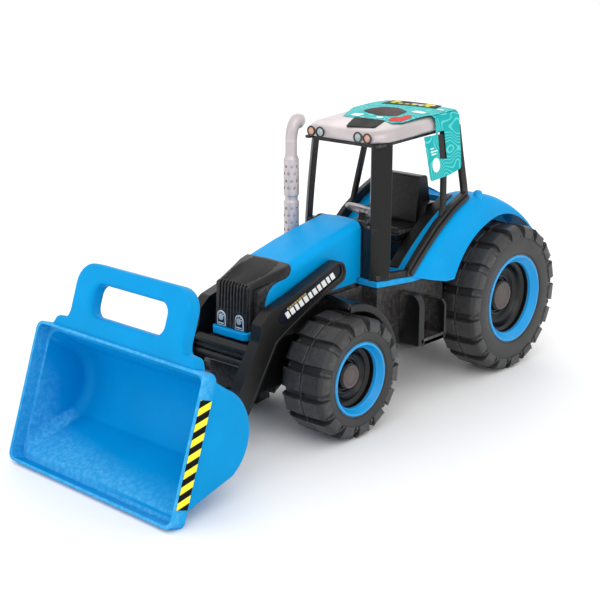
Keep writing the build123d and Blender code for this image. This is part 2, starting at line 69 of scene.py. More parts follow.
# ---------------------------------------------------------------- material nodes
class Nodes:
    """Short way to wire a material's nodes."""

    def __init__(self, name):
        self.material = bpy.data.materials.new(name)
        self.material.use_nodes = True
        self.tree = self.material.node_tree
        self.shader = self.tree.nodes["Principled BSDF"]
        self.place = self.add("ShaderNodeTexCoord").outputs["Object"]

    def add(self, kind, **settings):
        node = self.tree.nodes.new(kind)
        for key, value in settings.items():
            setattr(node, key, value)
        return node

    def link(self, source, target):
        self.tree.links.new(source, target)

    def noise(self, scale, detail=3.0, rough=0.5):
        node = self.add("ShaderNodeTexNoise")
        self.link(self.place, node.inputs["Vector"])
        node.inputs["Scale"].default_value = scale
        node.inputs["Detail"].default_value = detail
        node.inputs["Roughness"].default_value = rough
        return node.outputs["Fac"]

    def math(self, operation, first, second=0.0):
        node = self.add("ShaderNodeMath", operation=operation)
        for socket, value in zip(node.inputs, (first, second)):
            if isinstance(value, (int, float)):
                socket.default_value = value
            else:
                self.link(value, socket)
        return node.outputs[0]

    def spread(self, value, low, high, to_low, to_high):
        node = self.add("ShaderNodeMapRange")
        self.link(value, node.inputs["Value"])
        for key, number in (("From Min", low), ("From Max", high), ("To Min", to_low), ("To Max", to_high)):
            node.inputs[key].default_value = number
        return node.outputs["Result"]

    def mix(self, factor, first, second):
        node = self.add("ShaderNodeMix", data_type="RGBA")
        self.link(factor, node.inputs["Factor"])
        for socket, value in ((node.inputs["A"], first), (node.inputs["B"], second)):
            if isinstance(value, tuple):
                socket.default_value = value
            else:
                self.link(value, socket)
        return node.outputs["Result"]

    def bump(self, height, strength, distance):
        node = self.add("ShaderNodeBump")
        node.inputs["Strength"].default_value = strength
        node.inputs["Distance"].default_value = distance
        self.link(height, node.inputs["Height"])
        self.link(node.outputs["Normal"], self.shader.inputs["Normal"])

    def edge_wear_and_highlight(self, low=0.53, high=0.62):
        """Mask that is 1 on convex edges, where colour is lightened: partly wear, partly painted highlight."""
        curve = self.add("ShaderNodeNewGeometry").outputs["Pointiness"]
        return self.spread(curve, low, high, 0.0, 1.0)


def shade(colour, factor):
    """A colour made lighter or darker."""
    return tuple(min(1.0, channel * factor) for channel in colour[:3]) + (1,)


def moulded(name, colour, gloss, mottle=0.06, wear_and_highlight_colour=None, wear_and_highlight=0.35, grain=0.12, coat=0.0, shine=0.4):
    """Moulded plastic: faint flow mottle, convex edges lightened partly as wear and partly as painted
    highlight, uneven gloss and a fine grain.
    """
    n = Nodes(name)
    clouds = n.spread(n.noise(22, 4), 0.3, 0.7, 0.0, 1.0)
    base = n.mix(clouds, shade(colour, 1 - mottle), shade(colour, 1 + mottle))
    # Convex edges pulled towards a paler colour, broken up by scuff noise: partly wear, partly painted
    # highlight.
    if wear_and_highlight_colour:
        scuffs = n.spread(n.noise(260, 5, 0.65), 0.42, 0.62, 0.35, 1.0)
        mask = n.math("MULTIPLY", n.edge_wear_and_highlight(), scuffs)
        base = n.mix(n.math("MULTIPLY", mask, wear_and_highlight), base, wear_and_highlight_colour)
    n.link(base, n.shader.inputs["Base Color"])
    n.link(n.spread(n.noise(75, 5, 0.6), 0.3, 0.7, gloss - 0.06, gloss + 0.07), n.shader.inputs["Roughness"])
    n.bump(n.noise(1500, 2), grain, 0.0004)
    n.shader.inputs["Coat Weight"].default_value = coat
    n.shader.inputs["Coat Roughness"].default_value = 0.12
    n.shader.inputs["Specular IOR Level"].default_value = shine
    return n.material


def metal(name, colour, gloss):
    """Plain steel with fine drawn lines."""
    n = Nodes(name)
    streaks = n.noise(420, 6, 0.7)
    n.link(n.mix(streaks, shade(colour, 0.85), shade(colour, 1.1)), n.shader.inputs["Base Color"])
    n.link(n.spread(streaks, 0.2, 0.8, gloss - 0.08, gloss + 0.1), n.shader.inputs["Roughness"])
    n.shader.inputs["Metallic"].default_value = 1.0
    n.bump(streaks, 0.1, 0.0002)
    return n.material


def silver(name, colour):
    """Silver-sprayed plastic: flake sparkle, soft streaks, a half-metallic sheen and convex edges lightened
    towards white as painted highlight.
    """
    n = Nodes(name)
    clouds = n.spread(n.noise(30, 4), 0.3, 0.7, 0.0, 1.0)
    base = n.mix(clouds, shade(colour, 0.86), shade(colour, 1.1))
    # Painted highlight: convex edges lightened to near white.
    n.link(n.mix(n.math("MULTIPLY", n.edge_wear_and_highlight(), 0.5), base, srgb(236, 230, 230)),
           n.shader.inputs["Base Color"])
    n.link(n.spread(n.noise(2600, 2), 0.3, 0.7, 0.3, 0.46), n.shader.inputs["Roughness"])
    n.shader.inputs["Metallic"].default_value = 0.45
    n.bump(n.noise(1800, 2), 0.12, 0.0003)
    return n.material


def card(name, ground, line, ring_size):
    """Printed card with thin contour lines like those of a map."""
    n = Nodes(name)
    field = n.noise(ring_size, 1.2, 0.4)
    waves = n.math("FRACT", n.math("MULTIPLY", field, 26.0))
    inside = n.math("LESS_THAN", n.math("ABSOLUTE", n.math("SUBTRACT", waves, 0.5)), 0.13)
    tint = n.mix(n.noise(60), shade(ground, 0.94), shade(ground, 1.06))
    n.link(n.mix(inside, tint, line), n.shader.inputs["Base Color"])
    n.link(n.spread(n.noise(90), 0.3, 0.7, 0.48, 0.6), n.shader.inputs["Roughness"])
    n.shader.inputs["Specular IOR Level"].default_value = 0.15
    n.bump(n.noise(900), 0.05, 0.0002)
    return n.material


BLUE = srgb(0, 154, 220)
# Pale blue of the lit tops, laid on convex blue edges: partly wear, partly painted highlight.
BLUE_EDGE_WORN_AND_LIT = srgb(120, 205, 250)
BLACK = srgb(11, 11, 12)
# Pale grey laid on convex black edges: partly wear, partly painted highlight.
BLACK_EDGE_WORN_AND_LIT = srgb(104, 101, 99)
# Plastics: colour, roughness and what differs from plain moulded plastic.
BLUE_WEAR_AND_HIGHLIGHT = {"wear_and_highlight_colour": BLUE_EDGE_WORN_AND_LIT, "wear_and_highlight": 0.4, "shine": 0.07}
PLASTICS = {
    "blue_body": (BLUE, 0.42, BLUE_WEAR_AND_HIGHLIGHT),
    "blue_bucket": (srgb(0, 146, 210), 0.44, BLUE_WEAR_AND_HIGHLIGHT),
    "blue_rim": (srgb(0, 152, 220), 0.34, {"wear_and_highlight_colour": BLUE_EDGE_WORN_AND_LIT, "wear_and_highlight": 0.3}),
    "black_plastic": (BLACK, 0.34, {"wear_and_highlight_colour": BLACK_EDGE_WORN_AND_LIT, "wear_and_highlight": 0.75, "shine": 0.33}),
    "black_hub": (srgb(10, 10, 11), 0.3, {"wear_and_highlight_colour": BLACK_EDGE_WORN_AND_LIT, "wear_and_highlight": 0.5}),
    "black_pin": (srgb(24, 24, 25), 0.35, {"wear_and_highlight_colour": BLACK_EDGE_WORN_AND_LIT, "wear_and_highlight": 0.5}),
    "hub_cap": (srgb(92, 82, 78), 0.5, {"mottle": 0.14, "grain": 0.3}),
    # Pale grey on the tyre's convex lug edges: partly wear, partly painted highlight.
    "tyre": (srgb(44, 44, 45), 0.4, {"mottle": 0.12, "wear_and_highlight_colour": srgb(140, 140, 140), "wear_and_highlight": 0.5,
                                     "grain": 0.3}),
    "lamp_clear": (srgb(168, 178, 178), 0.12, {"mottle": 0.25, "coat": 0.6}),
    "lamp_amber": (srgb(214, 160, 134), 0.12, {"mottle": 0.25, "coat": 0.6}),
    "headlight_print": (srgb(190, 202, 214), 0.2, {"mottle": 0.2, "coat": 0.4}),
    "label_print": (srgb(9, 13, 30), 0.4, {"mottle": 0.2, "shine": 0.2}),
    "hazard_print": (srgb(252, 240, 0), 0.25, {"coat": 0.3}),
    "print_black": (srgb(9, 9, 11), 0.55, {"shine": 0.1}),
    "print_white": (srgb(232, 234, 234), 0.5, {"mottle": 0.03, "shine": 0.1}),
    "print_red": (srgb(206, 42, 36), 0.5, {"shine": 0.1}),
    "print_gold": (srgb(176, 160, 104), 0.5, {"mottle": 0.2, "shine": 0.1}),
    "print_yellow": (srgb(240, 226, 10), 0.5, {"shine": 0.1}),
    "print_maroon": (srgb(52, 14, 16), 0.5, {"mottle": 0.5, "shine": 0.1}),
}
MATERIALS = {name: moulded(name, colour, gloss, **extra) for name, (colour, gloss, extra) in PLASTICS.items()}
MATERIALS["silver_plastic"] = silver("silver_plastic", srgb(196, 186, 187))
MATERIALS["steel"] = metal("steel", srgb(170, 170, 172), 0.35)
MATERIALS["card_print"] = card("card_print", srgb(16, 172, 174), srgb(96, 206, 204), 26)


# ---------------------------------------------------------------- mesh helpers
def rounded(corners, radius, steps=5):
    """Closed 2-D outline with round corners; radius is one number or one for each corner."""
    result = []
    count = len(corners)
    for index, corner in enumerate(corners):
        here = Vector(corner)
        back = Vector(corners[index - 1]) - here
        ahead = Vector(corners[(index + 1) % count]) - here
        wanted = radius[index] if isinstance(radius, (list, tuple)) else radius
        half = back.angle(ahead) / 2
        reach = min(wanted / math.tan(half), 0.48 * back.length, 0.48 * ahead.length)
        if wanted < 0.01 or reach < 0.01:
            result.append(tuple(here))
            continue
        centre = here + (back.normalized() + ahead.normalized()).normalized() * reach / math.cos(half)
        first = here + back.normalized() * reach - centre
        last = here + ahead.normalized() * reach - centre
        turn = math.atan2(first.x * last.y - first.y * last.x, first.dot(last))
        for step in range(steps + 1):
            point = centre + Matrix.Rotation(turn * step / steps, 2) @ first
            result.append(tuple(point))
    return result


def arc(centre_x, centre_y, radius, start, end, steps):
    """Points of a circular arc, angles in degrees."""
    angles = [math.radians(start + (end - start) * k / steps) for k in range(steps + 1)]
    return [(centre_x + radius * math.cos(a), centre_y + radius * math.sin(a)) for a in angles]


def along_y(a, b, depth):
    return (a, depth, b)


def along_x(a, b, depth):
    return (depth, a, b)


def along_z(a, b, depth):
    return (a, b, depth)


def prism(outline, low, high, place=along_y):
    """Closed solid between two parallel planes."""
    bm = bmesh.new()
    near = [bm.verts.new(place(a, b, low)) for a, b in outline]
    far = [bm.verts.new(place(a, b, high)) for a, b in outline]
    bm.faces.new(near)
    bm.faces.new(far[::-1])
    for k in range(len(outline)):
        j = (k + 1) % len(outline)
        bm.faces.new((near[k], far[k], far[j], near[j]))
    bmesh.ops.recalc_face_normals(bm, faces=bm.faces)
    return bm


def loft(rings, cap=True):
    """Skin over closed rings of points, with a flat cap on the first and the last."""
    bm = bmesh.new()
    rows = [[bm.verts.new(point) for point in ring] for ring in rings]
    count = len(rows[0])
    for row, following in zip(rows, rows[1:]):
        for k in range(count):
            j = (k + 1) % count
            bm.faces.new((row[k], row[j], following[j], following[k]))
    if cap:
        bm.faces.new(rows[0][::-1])
        bm.faces.new(rows[-1])
    bmesh.ops.remove_doubles(bm, verts=bm.verts, dist=0.001)
    bmesh.ops.recalc_face_normals(bm, faces=bm.faces)
    return bm


def turns(count):
    """Evenly spaced angles round a full turn."""
    return [2 * math.pi * k / count for k in range(count)]


def revolved(profile, place, segments):
    """Ring of revolution from a closed list of (radius, depth) corners."""
    rings = [[place(r * math.cos(angle), r * math.sin(angle), depth) for r, depth in profile]
             for angle in turns(segments)]
    return loft(rings + rings[:1], cap=False)


def lathe(profile, x, z, side=1, segments=120):
    """Ring about a wheel's axle, depth outwards; side is -1 on the right."""
    return revolved(profile, lambda a, b, depth: (x + a, side * depth, z + b), segments)


def lathe_x(profile, y, z, segments=40):
    """Ring about an axis along X, depth forwards."""
    return revolved(profile, lambda a, b, depth: (depth, y + a, z + b), segments)


def lathe_z(profile, x, y, segments=64):
    """Ring about an upright axis, depth upwards."""
    return revolved(profile, lambda a, b, depth: (x + a, y + b, depth), segments)


def join(*parts):
    """One mesh from several."""
    whole = bmesh.new()
    for part in parts:
        mesh = bpy.data.meshes.new("part")
        part.to_mesh(mesh)
        part.free()
        whole.from_mesh(mesh)
        bpy.data.meshes.remove(mesh)
    return whole


def temporary(bm):
    mesh = bpy.data.meshes.new("work")
    bm.to_mesh(mesh)
    bm.free()
    obj = bpy.data.objects.new("work", mesh)
    bpy.context.scene.collection.objects.link(obj)
    return obj


def combine(first, second, operation):
    """Boolean of two closed meshes: UNION, DIFFERENCE or INTERSECT."""
    base, tool = temporary(first), temporary(second)
    modifier = base.modifiers.new("cut", "BOOLEAN")
    modifier.operation = operation
    modifier.solver = "EXACT"
    modifier.object = tool
    result = bmesh.new()
    result.from_mesh(base.evaluated_get(bpy.context.evaluated_depsgraph_get()).to_mesh())
    for obj in (base, tool):
        mesh = obj.data
        bpy.data.objects.remove(obj)
        bpy.data.meshes.remove(mesh)
    bmesh.ops.remove_doubles(result, verts=result.verts, dist=0.002)
    return result


def less(first, second):
    return combine(first, second, "DIFFERENCE")


def plus(first, second):
    return combine(first, second, "UNION")


def flip(bm):
    """Mirror across the toy's middle."""
    bmesh.ops.scale(bm, vec=(1, -1, 1), verts=bm.verts)
    bmesh.ops.reverse_faces(bm, faces=bm.faces)
    return bm


def bevelled(bm, width, angle=30, segments=3, pick=None):
    """Round the mesh's sharp edges; pick says which of them."""
    sharp = []
    for edge in bm.edges:
        if len(edge.link_faces) == 2 and edge.calc_face_angle(0) > math.radians(angle):
            if pick is None or pick((edge.verts[0].co + edge.verts[1].co) / 2):
                sharp.append(edge)
    bmesh.ops.bevel(bm, geom=sharp, offset=width, segments=segments, profile=0.5, affect="EDGES",
                    clamp_overlap=True)
    return bm


def piece(name, bm, body, slot, nodes=(), bevel=0.0, look=None, segments=3, auto=35):
    """Turn a mesh in millimetres into a finished piece that rides on a body."""
    bmesh.ops.scale(bm, vec=(MM, MM, MM), verts=bm.verts)
    mesh = bpy.data.meshes.new(name)
    bm.to_mesh(mesh)
    bm.free()
    obj = bpy.data.objects.new(name, mesh)
    bpy.context.scene.collection.objects.link(obj)
    mesh.materials.append(MATERIALS[look or slot])
    dress(obj, bevel, segments, auto)
    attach(obj, body)
    if nodes:
        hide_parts(*nodes)
    return obj


def dress(obj, bevel, segments=3, auto=35):
    """Smooth shading with rounded edges."""
    for polygon in obj.data.polygons:
        polygon.use_smooth = True
    if bevel:
        modifier = obj.modifiers.new("edge", "BEVEL")
        modifier.width = bevel * MM
        modifier.segments = segments
        modifier.limit_method = "ANGLE"
        modifier.angle_limit = math.radians(auto)
        modifier.harden_normals = True
    else:
        obj.data.set_sharp_from_angle(angle=math.radians(auto))
    smooth = obj.modifiers.new("normals", "WEIGHTED_NORMAL")
    smooth.keep_sharp = True


def keep_node(name, slot, bevel=0.5):
    """Give a CAD node its material and softened edges."""
    obj = frame["nodes"][name]
    obj.data.materials.clear()
    obj.data.materials.append(MATERIALS[slot])
    if bevel:
        weld = obj.modifiers.new("weld", "WELD")
        weld.merge_threshold = 0.00001
        edge = obj.modifiers.new("edge", "BEVEL")
        edge.width = bevel * MM
        edge.segments = 2
        edge.limit_method = "ANGLE"
        edge.angle_limit = math.radians(35)
    return obj


# ---------------------------------------------------------------- wheels
class Wheel:
    """Sizes of one axle's wheels, read from their CAD nodes."""

    def __init__(self, place, lugs):
        low, high = node_box("tyre_" + place + "_left")
        ring_low, ring_high = node_box("rim_" + place + "_left")
        cap_low, cap_high = node_box("cap_" + place + "_left")
        hub_low, hub_high = node_box("hub_" + place + "_left")
        self.place = place
        self.lugs = lugs
        self.x = (low.x + high.x) / 2
        self.z = (low.z + high.z) / 2
        self.radius = (high.x - low.x) / 2
        self.inner, self.outer = low.y, high.y
        self.seat = (ring_high.x - ring_low.x) / 2
        self.lip = self.seat * 0.815
        self.cap_radius = (cap_high.x - cap_low.x) / 2
        self.cap_y = cap_low.y
        self.hub_inner = hub_low.y
        self.hub_outer = hub_high.y
        self.floor = self.cap_y - 7


REAR = Wheel("rear", 18)
FRONT = Wheel("front", 14)
TREAD_DEPTH = 4.0


def wheel_piece(kind, bm, w, side_name, slot, **finish):
    """A piece of one wheel, in place of that wheel's CAD node of the same kind."""
    tag = w.place + "_" + side_name
    piece(kind + "_made_" + tag, bm, "wheel_" + tag, slot, [kind + "_" + tag], **finish)


def carcass(w, side):
    """Tyre body: flat tread band, round shoulders and softly convex side walls."""
    base, y0, y1 = w.radius - TREAD_DEPTH, w.inner, w.outer
    middle = (w.seat + base) / 2
    outer = [(base, y1 - 8), (base - 0.8, y1 - 5), (base - 3.0, y1 - 2.6), (base - 7, y1 - 1.3),
             (middle, y1 - 0.5), (w.seat + 5, y1 - 0.9), (w.seat + 2.2, y1 - 1.6), (w.seat + 1.6, y1 - 2.6),
             (w.seat + 0.6, y1 - 2.2), (w.seat, y1 - 2.6)]
    inner = [(w.seat, y0 + 2.5), (w.seat + 4, y0 + 1), (middle, y0 + 0.6), (base - 8, y0 + 1.6),
             (base - 3, y0 + 2.6), (base - 0.8, y0 + 5), (base, y0 + 8)]
    return lathe(outer + inner, w.x, w.z, side, 144)


def lug(w, angle, direction):
    """One raised tread slab, from the centre seam over the shoulder and down the side wall."""
    top = w.radius
    middle = (w.inner + w.outer) / 2
    edge = w.outer if direction > 0 else w.inner
    stations = [(top - 0.2, middle + 0.7 * direction, 6, 1.0), (top, middle + 5 * direction, 6, 1.0),
                (top, edge - 7 * direction, 6, 1.0), (top - 0.7, edge - 4.2 * direction, 7, 1.0),
                (top - 2.8, edge - 1.4 * direction, 8, 1.0), (top - 6.4, edge - 0.1 * direction, 8, 0.98),
                (top - 11.5, edge - 0.1 * direction, 8, 0.93)]
    half = math.pi / w.lugs * 0.68
    rings = []
    for radius, y, depth, width in stations:
        lean = 0.02 * abs(y - middle) / (w.outer - middle)
        low_y = y - direction * min(depth, 0.6 * abs(y - middle)) if radius < top - 2 else y
        low_r = radius - depth if radius > top - 2 else radius - 3.0
        ring = []
        for r, at, spread in ((low_r, low_y, 1.05), (radius, y, 0.96), (radius, y, -0.96),
                              (low_r, low_y, -1.05)):
            turn = angle + lean + spread * half * width
            ring.append((w.x + r * math.cos(turn), at, w.z + r * math.sin(turn)))
        rings.append(ring)
    return loft(rings)


def shoulder_notch(w, angle, direction):
    """Small raised bar on the shoulder between two slabs."""
    edge = w.outer if direction > 0 else w.inner
    base = w.radius - TREAD_DEPTH
    half = math.pi / w.lugs * 0.12
    rings = []
    for radius, y in ((base - 0.6, edge - 7.5 * direction), (base - 2.6, edge - 3.6 * direction),
                      (base - 7.4, edge - 0.9 * direction)):
        ring = []
        for r, at, spread in ((radius - 3, y - 3 * direction, 1), (radius + 0.9, y + 0.9 * direction, 1),
                              (radius + 0.9, y + 0.9 * direction, -1), (radius - 3, y - 3 * direction, -1)):
            turn = angle + spread * half
            ring.append((w.x + r * math.cos(turn), at, w.z + r * math.sin(turn)))
        rings.append(ring)
    return loft(rings)


def tyre(w, side_name, side):
    parts = []
    for direction in (1, -1):
        for k in range(w.lugs):
            angle = 2 * math.pi * (k + 0.25) / w.lugs
            parts.append(lug(w, angle, direction))
            gap = angle + math.pi / w.lugs
            parts.append(shoulder_notch(w, gap, direction))
    middle = (w.inner + w.outer) / 2
    base = w.radius - TREAD_DEPTH
    seam = [(base - 2, middle - 0.5), (base + 2.6, middle - 0.4), (base + 2.6, middle + 0.4),
            (base - 2, middle + 0.5)]
    tread = join(*parts, lathe(seam, w.x, w.z, 1, 96))
    if side < 0:
        flip(tread)
    wheel_piece("tyre", join(carcass(w, side), tread), w, side_name, "tyre", bevel=0.6, segments=2, auto=32)


def rim(w, side_name, side):
    """Blue funnel ring with a rolled outer edge and a small inner step."""
    y1 = w.outer - 1.5
    profile = [(w.seat - 0.1, y1 - 8), (w.seat - 0.1, y1 - 0.6), (w.seat - 0.8, y1 + 0.1),
               (w.seat - 2.2, y1 + 0.1),
               (w.seat - 2.8, y1 - 0.8), (w.lip + 1.2, y1 - 5.0), (w.lip + 0.4, y1 - 5.4),
               (w.lip + 0.1, y1 - 6.2),
               (w.lip + 0.1, y1 - 8)]
    wheel_piece("rim", lathe(profile, w.x, w.z, side), w, side_name, "blue_rim", auto=40)


def hub(w, side_name, side):
    """Deep black pan with steps, a flat floor ring and a raised boss."""
    y1 = w.hub_outer
    floor = w.floor
    boss = w.cap_radius + 1.5
    step = w.lip - 4.5
    inner = w.hub_inner
    profile = [(w.seat - 0.1, y1), (w.lip, y1), (w.lip - 0.5, y1 - 0.6), (w.lip - 0.6, y1 - 4),
               (step + 1.6, y1 - 5.2),
               (step + 0.5, y1 - 6.2), (step - 0.6, floor + 6), (step - 2.2, floor + 3.2),
               (step - 4.5, floor + 2.4),
               (boss + 5.5, floor + 2.2), (boss + 4.6, floor + 3.4), (boss + 2.6, floor + 3.4),
               (boss + 1.8, floor + 1.8), (boss + 0.6, floor + 1.6), (boss, floor + 2.8),
               (boss - 0.3, floor + 6.4),
               (boss - 1, floor + 7), (7, floor + 7), (7, floor + 2), (2.6, floor + 2), (2.6, inner),
               (7, inner),
               (7, floor - 3), (step + 3, floor - 3), (w.seat - 3, inner + 2), (w.seat - 0.1, inner + 2)]
    wheel_piece("hub", lathe(profile, w.x, w.z, side), w, side_name, "black_hub", auto=50)


def cap(w, side_name, side):
    """Low pressed cap with a raised rim."""
    y = w.cap_y
    r = w.cap_radius
    profile = [(0.01, y), (r, y), (r, y + 1.2), (r - 0.6, y + 2.0), (r - 1.6, y + 2.0), (r - 2.4, y + 1.5),
               (r * 0.6, y + 2.6), (r * 0.3, y + 3.1), (0.01, y + 3.3)]
    wheel_piece("cap", lathe(profile, w.x, w.z, side, 72), w, side_name, "hub_cap", auto=40)


def wheels():
    for w in (REAR, FRONT):
        for side_name, side in SIDES:
            tyre(w, side_name, side)
            rim(w, side_name, side)
            hub(w, side_name, side)
            cap(w, side_name, side)
        keep_node(w.place + "_axle", "steel", 0)
        keep_node(w.place + "_push_nuts", "steel", 0)


# ---------------------------------------------------------------- hood and nose
HOOD_REAR_X = -26.0
HOOD_END_X = 66.5
HOOD_LOW = 88.0
HOOD_REAR_TALL, HOOD_DROP, HOOD_CROWN = 172.0, 22.0, 1.6
NOSE_SEAM = [(66.5, 160), (66.8, 144.5), (68.6, 141), (72.7, 138.9), (80, 137.2), (86.9, 134.8),
             (91.5, 131.5),
             (94.2, 127), (96.2, 121), (97.6, 112), (98.6, 100), (99, 80)]


def hood_height(x):
    """Height of the hood's middle line."""
    slope = HOOD_DROP * (x - HOOD_REAR_X) / (HOOD_END_X - HOOD_REAR_X)
    return HOOD_REAR_TALL - slope + HOOD_CROWN * math.sin(math.pi * min(1, max(0, (x + 26) / 92)))


def hood_section(x, low):
    """Half section from the low edge to the middle: side wall, big soft ridge and crowned top."""
    t = (x - HOOD_REAR_X) / (HOOD_END_X - HOOD_REAR_X)
    top = hood_height(x)
    side = 25.6 + 1.9 * min(1, max(0, t * 1.6))
    ridge = 20.5 + 4.5 * min(1, max(0, t))
    points = [(side, low), (side, low + 8), (side, low + 20), (side - 0.2, top - 16)]
    shoulder = 6.5
    start = Vector((side - 0.3, top - shoulder - 2.2))
    corner = Vector((side - 0.7, top - 0.9))
    end = Vector((ridge - 5.0, top - 0.7))
    for k in range(9):
        s = k / 8
        points.append(tuple(start * (1 - s) ** 2 + corner * 2 * s * (1 - s) + end * s * s))
    points += [(ridge * 0.55, top - 0.25), (ridge * 0.28, top - 0.06), (0, top)]
    return points


def hood_body():
    """Closed solid of the hood before the nose is cut out of it."""
    stations = [HOOD_REAR_X, -20, -8, 6, 20, 34, 48, 58, 66.5, 76, 86, 94, 99]
    rings = []
    for x in stations:
        half = hood_section(x, HOOD_LOW)
        rings.append([(x, y, z) for y, z in half] + [(x, -y, z) for y, z in half[-2::-1]])
    return loft(rings)


def hood():
    outside = hood_body()
    room = [(-60, 60), (-60, 169), (60, 148.6), (86, 129), (93.5, 118), (96.4, 88), (96.4, 60)]
    inside = prism(room, -25.2, 25.2)
    shell = less(outside, inside)
    nose_cut = prism(NOSE_SEAM + [(140, 80), (140, 160)], -40, 40)
    shell = less(shell, nose_cut)
    rear_cut = prism([(-60, 60), (-20.5, 60), (-20.5, 119.6), (-60, 119.6)], -40, 40)
    shell = less(shell, rear_cut)
    wheel_side = [(-60, 115.8)] + arc(FRONT.x, FRONT.z, 62.5, 90, 18, 20) + [(99.5, 60), (-60, 60)]
    shell = less(shell, prism(wheel_side, -40, 40))
    piece("hood_shell", shell, "tractor", "blue_body", ["hood"], bevel=0.7, segments=2, auto=40)


def nose():
    """Nose: ribbed lid that narrows to the grille bulge, and slanting cheeks back to the hood."""
    lid_top = [(66.5, 150.2), (109, 137.6)]

    def height(x):
        (x0, z0), (x1, z1) = lid_top
        return z0 + (z1 - z0) * (x - x0) / (x1 - x0)

    def half(x):
        return 27.3 - 8.6 * max(0, (x - 74) / 35) ** 0.9

    rings = []
    for x in (60, 66.5, 74, 82, 90, 98, 104, 108):
        w, top = half(x), height(x)
        rings.append([(x, w, 92), (x, w, top - 4), (x, w - 0.8, top - 1.4), (x, w - 3.4, top),
                      (x, 0, top + 0.7),
                      (x, 3.4 - w, top), (x, 0.8 - w, top - 1.4), (x, -w, top - 4), (x, -w, 92)])
    body = loft(rings)
    seam = prism([(p, q) for p, q in NOSE_SEAM] + [(50, 80), (50, 160)], -40, 40)
    core = prism([(60, 92), (60, 145), (104, 133), (104, 92)], -25.0, 25.0)
    grille = prism(rounded([(102, 98), (102, 136.5), (109.6, 136.9), (111.9, 98)], [0.5, 0.5, 2.2, 0.8]),
                   -18.6, 18.6)
    bevelled(grille, 2.0, angle=60, pick=lambda at: abs(at.y) > 18)
    lid = less(body, seam)
    piece("nose_shell", join(lid, core, grille), "tractor", "black_plastic", ["nose_cowl"], bevel=0.8,
          segments=2, auto=40)
    ribs = []
    for k in range(9):
        y = -14.4 + 3.6 * k
        path = [(109.0, 138.0), (110.6, 136.0), (111.4, 128), (112.3, 113.5)]
        low = 113.5 if abs(y) > 4 else 99.5
        path[-1] = (112.5 if low < 110 else 112.3, low)
        back = [(x - 1.6, z) for x, z in path[::-1]]
        ribs.append(prism(path + back, y - 0.75, y + 0.75))
    for k in range(21):
        y = -17.5 + 1.75 * k
        rows = [(68.5 + max(0, abs(y) - 15) * 4, 0), (107.5 - max(0, abs(y) - 14) * 4, 0)]
        if rows[0][0] > rows[1][0] - 8:
            continue
        spine = []
        for x in (rows[0][0], (rows[0][0] + rows[1][0]) / 2, rows[1][0]):
            top = height(x) + 0.7 * (1 - abs(y) / 24)
            spine.append((x, top + 0.35))
        outline = spine + [(x, z - 1.2) for x, z in spine[::-1]]
        ribs.append(prism(outline, y - 0.3, y + 0.3))
    piece("nose_ribs", join(*ribs), "tractor", "black_plastic", bevel=0.25, segments=2, auto=40)
    ledge = rounded([(99, 22.8), (112.6, 21.0), (115.6, 17.5), (116, 0), (115.6, -17.5), (112.6, -21.0),
                     (99, -22.8)],
                    [0, 2, 2, 8, 2, 2, 0], 4)
    lower = prism(ledge, 91.4, 98.2, along_z)
    piece("nose_ledge_made", lower, "tractor", "blue_body", ["nose_ledge"], bevel=1.2, auto=40)


def headlights():
    """Arched lamp plates: pale frame, dark ground, and a bright lens in each."""
    low, high = node_box("headlights")
    plates, grounds, lenses = [], [], []
    for side in (1, -1):
        y, z = side * 10.6, 98.6

        def arch(half, foot, top):
            """Upright outline with a half-round head."""
            head = arc(y, z + top - half, half, 0, 180, 14)
            return [(y + half, z + foot)] + head + [(y - half, z + foot)]

        plates.append(prism(arch(4.9, 0.4, 13.6), low.x - 0.4, high.x - 0.1, along_x))
        grounds.append(prism(arch(4.0, 1.2, 12.7), low.x, high.x + 0.1, along_x))
        lenses.append(prism(arc(y, z + 8.0, 2.9, 0, 350, 24), low.x, high.x + 0.45, along_x))
        for k in range(5):
            turn = math.radians(20 + 35 * k)
            tip = (y + 3.55 * math.cos(turn), z + 8.6 + 3.55 * math.sin(turn))
            plates.append(prism(arc(*tip, 0.55, 0, 324, 9), low.x, high.x + 0.3, along_x))
        plates.append(prism([(y - 3.2, z + 2.0), (y + 3.2, z + 2.0), (y + 3.2, z + 3.2), (y - 3.2, z + 3.2)],
                            low.x, high.x + 0.3, along_x))
    piece("headlight_frames", join(*plates), "tractor", "headlight_print", ["headlights"], bevel=0.15,
          segments=2)
    piece("headlight_grounds", join(*grounds), "tractor", "headlight_print", bevel=0.1, segments=2,
          look="label_print")
    piece("headlight_lenses", join(*lenses), "tractor", "headlight_print", bevel=0.4, look="lamp_clear")


# ---------------------------------------------------------------- loader arms
ARM_IN, ARM_OUT = 30.5, 41.5
ARM_CORNERS = [(16, 148.3), (80, 127), (107, 119.5), (117.5, 111), (120, 97), (143, 61), (157, 43.5),
               (171, 32),
               (162, 20), (148, 22), (133, 38), (122, 53), (106, 78), (98, 91), (77, 102), (38, 120),
               (10, 129.5)]
ARM_RADII = [9, 8, 9, 6, 8, 8, 8, 6, 7, 6, 10, 10, 10, 9, 9, 8, 8.5]
LABEL_ANGLE = -21.3
LABEL_X, LABEL_Z = 18.0, 139.6


def label_point(along, across):
    """Point in the label's own frame: along the arm from the rear end, across it upwards."""
    turn = math.radians(LABEL_ANGLE)
    return (LABEL_X + along * math.cos(turn) - across * math.sin(turn),
            LABEL_Z + along * math.sin(turn) + across * math.cos(turn))


def stadium(start, end, half, steps=12):
    """Outline with round ends, in the label's frame."""
    rear = [(start + half - half * math.sin(a), half * math.cos(a)) for a in
            [math.pi * k / steps for k in range(steps + 1)]]
    front = [(end - half + half * math.sin(a), -half * math.cos(a)) for a in
             [math.pi * k / steps for k in range(steps + 1)]]
    return [label_point(a, b) for a, b in rear + front]


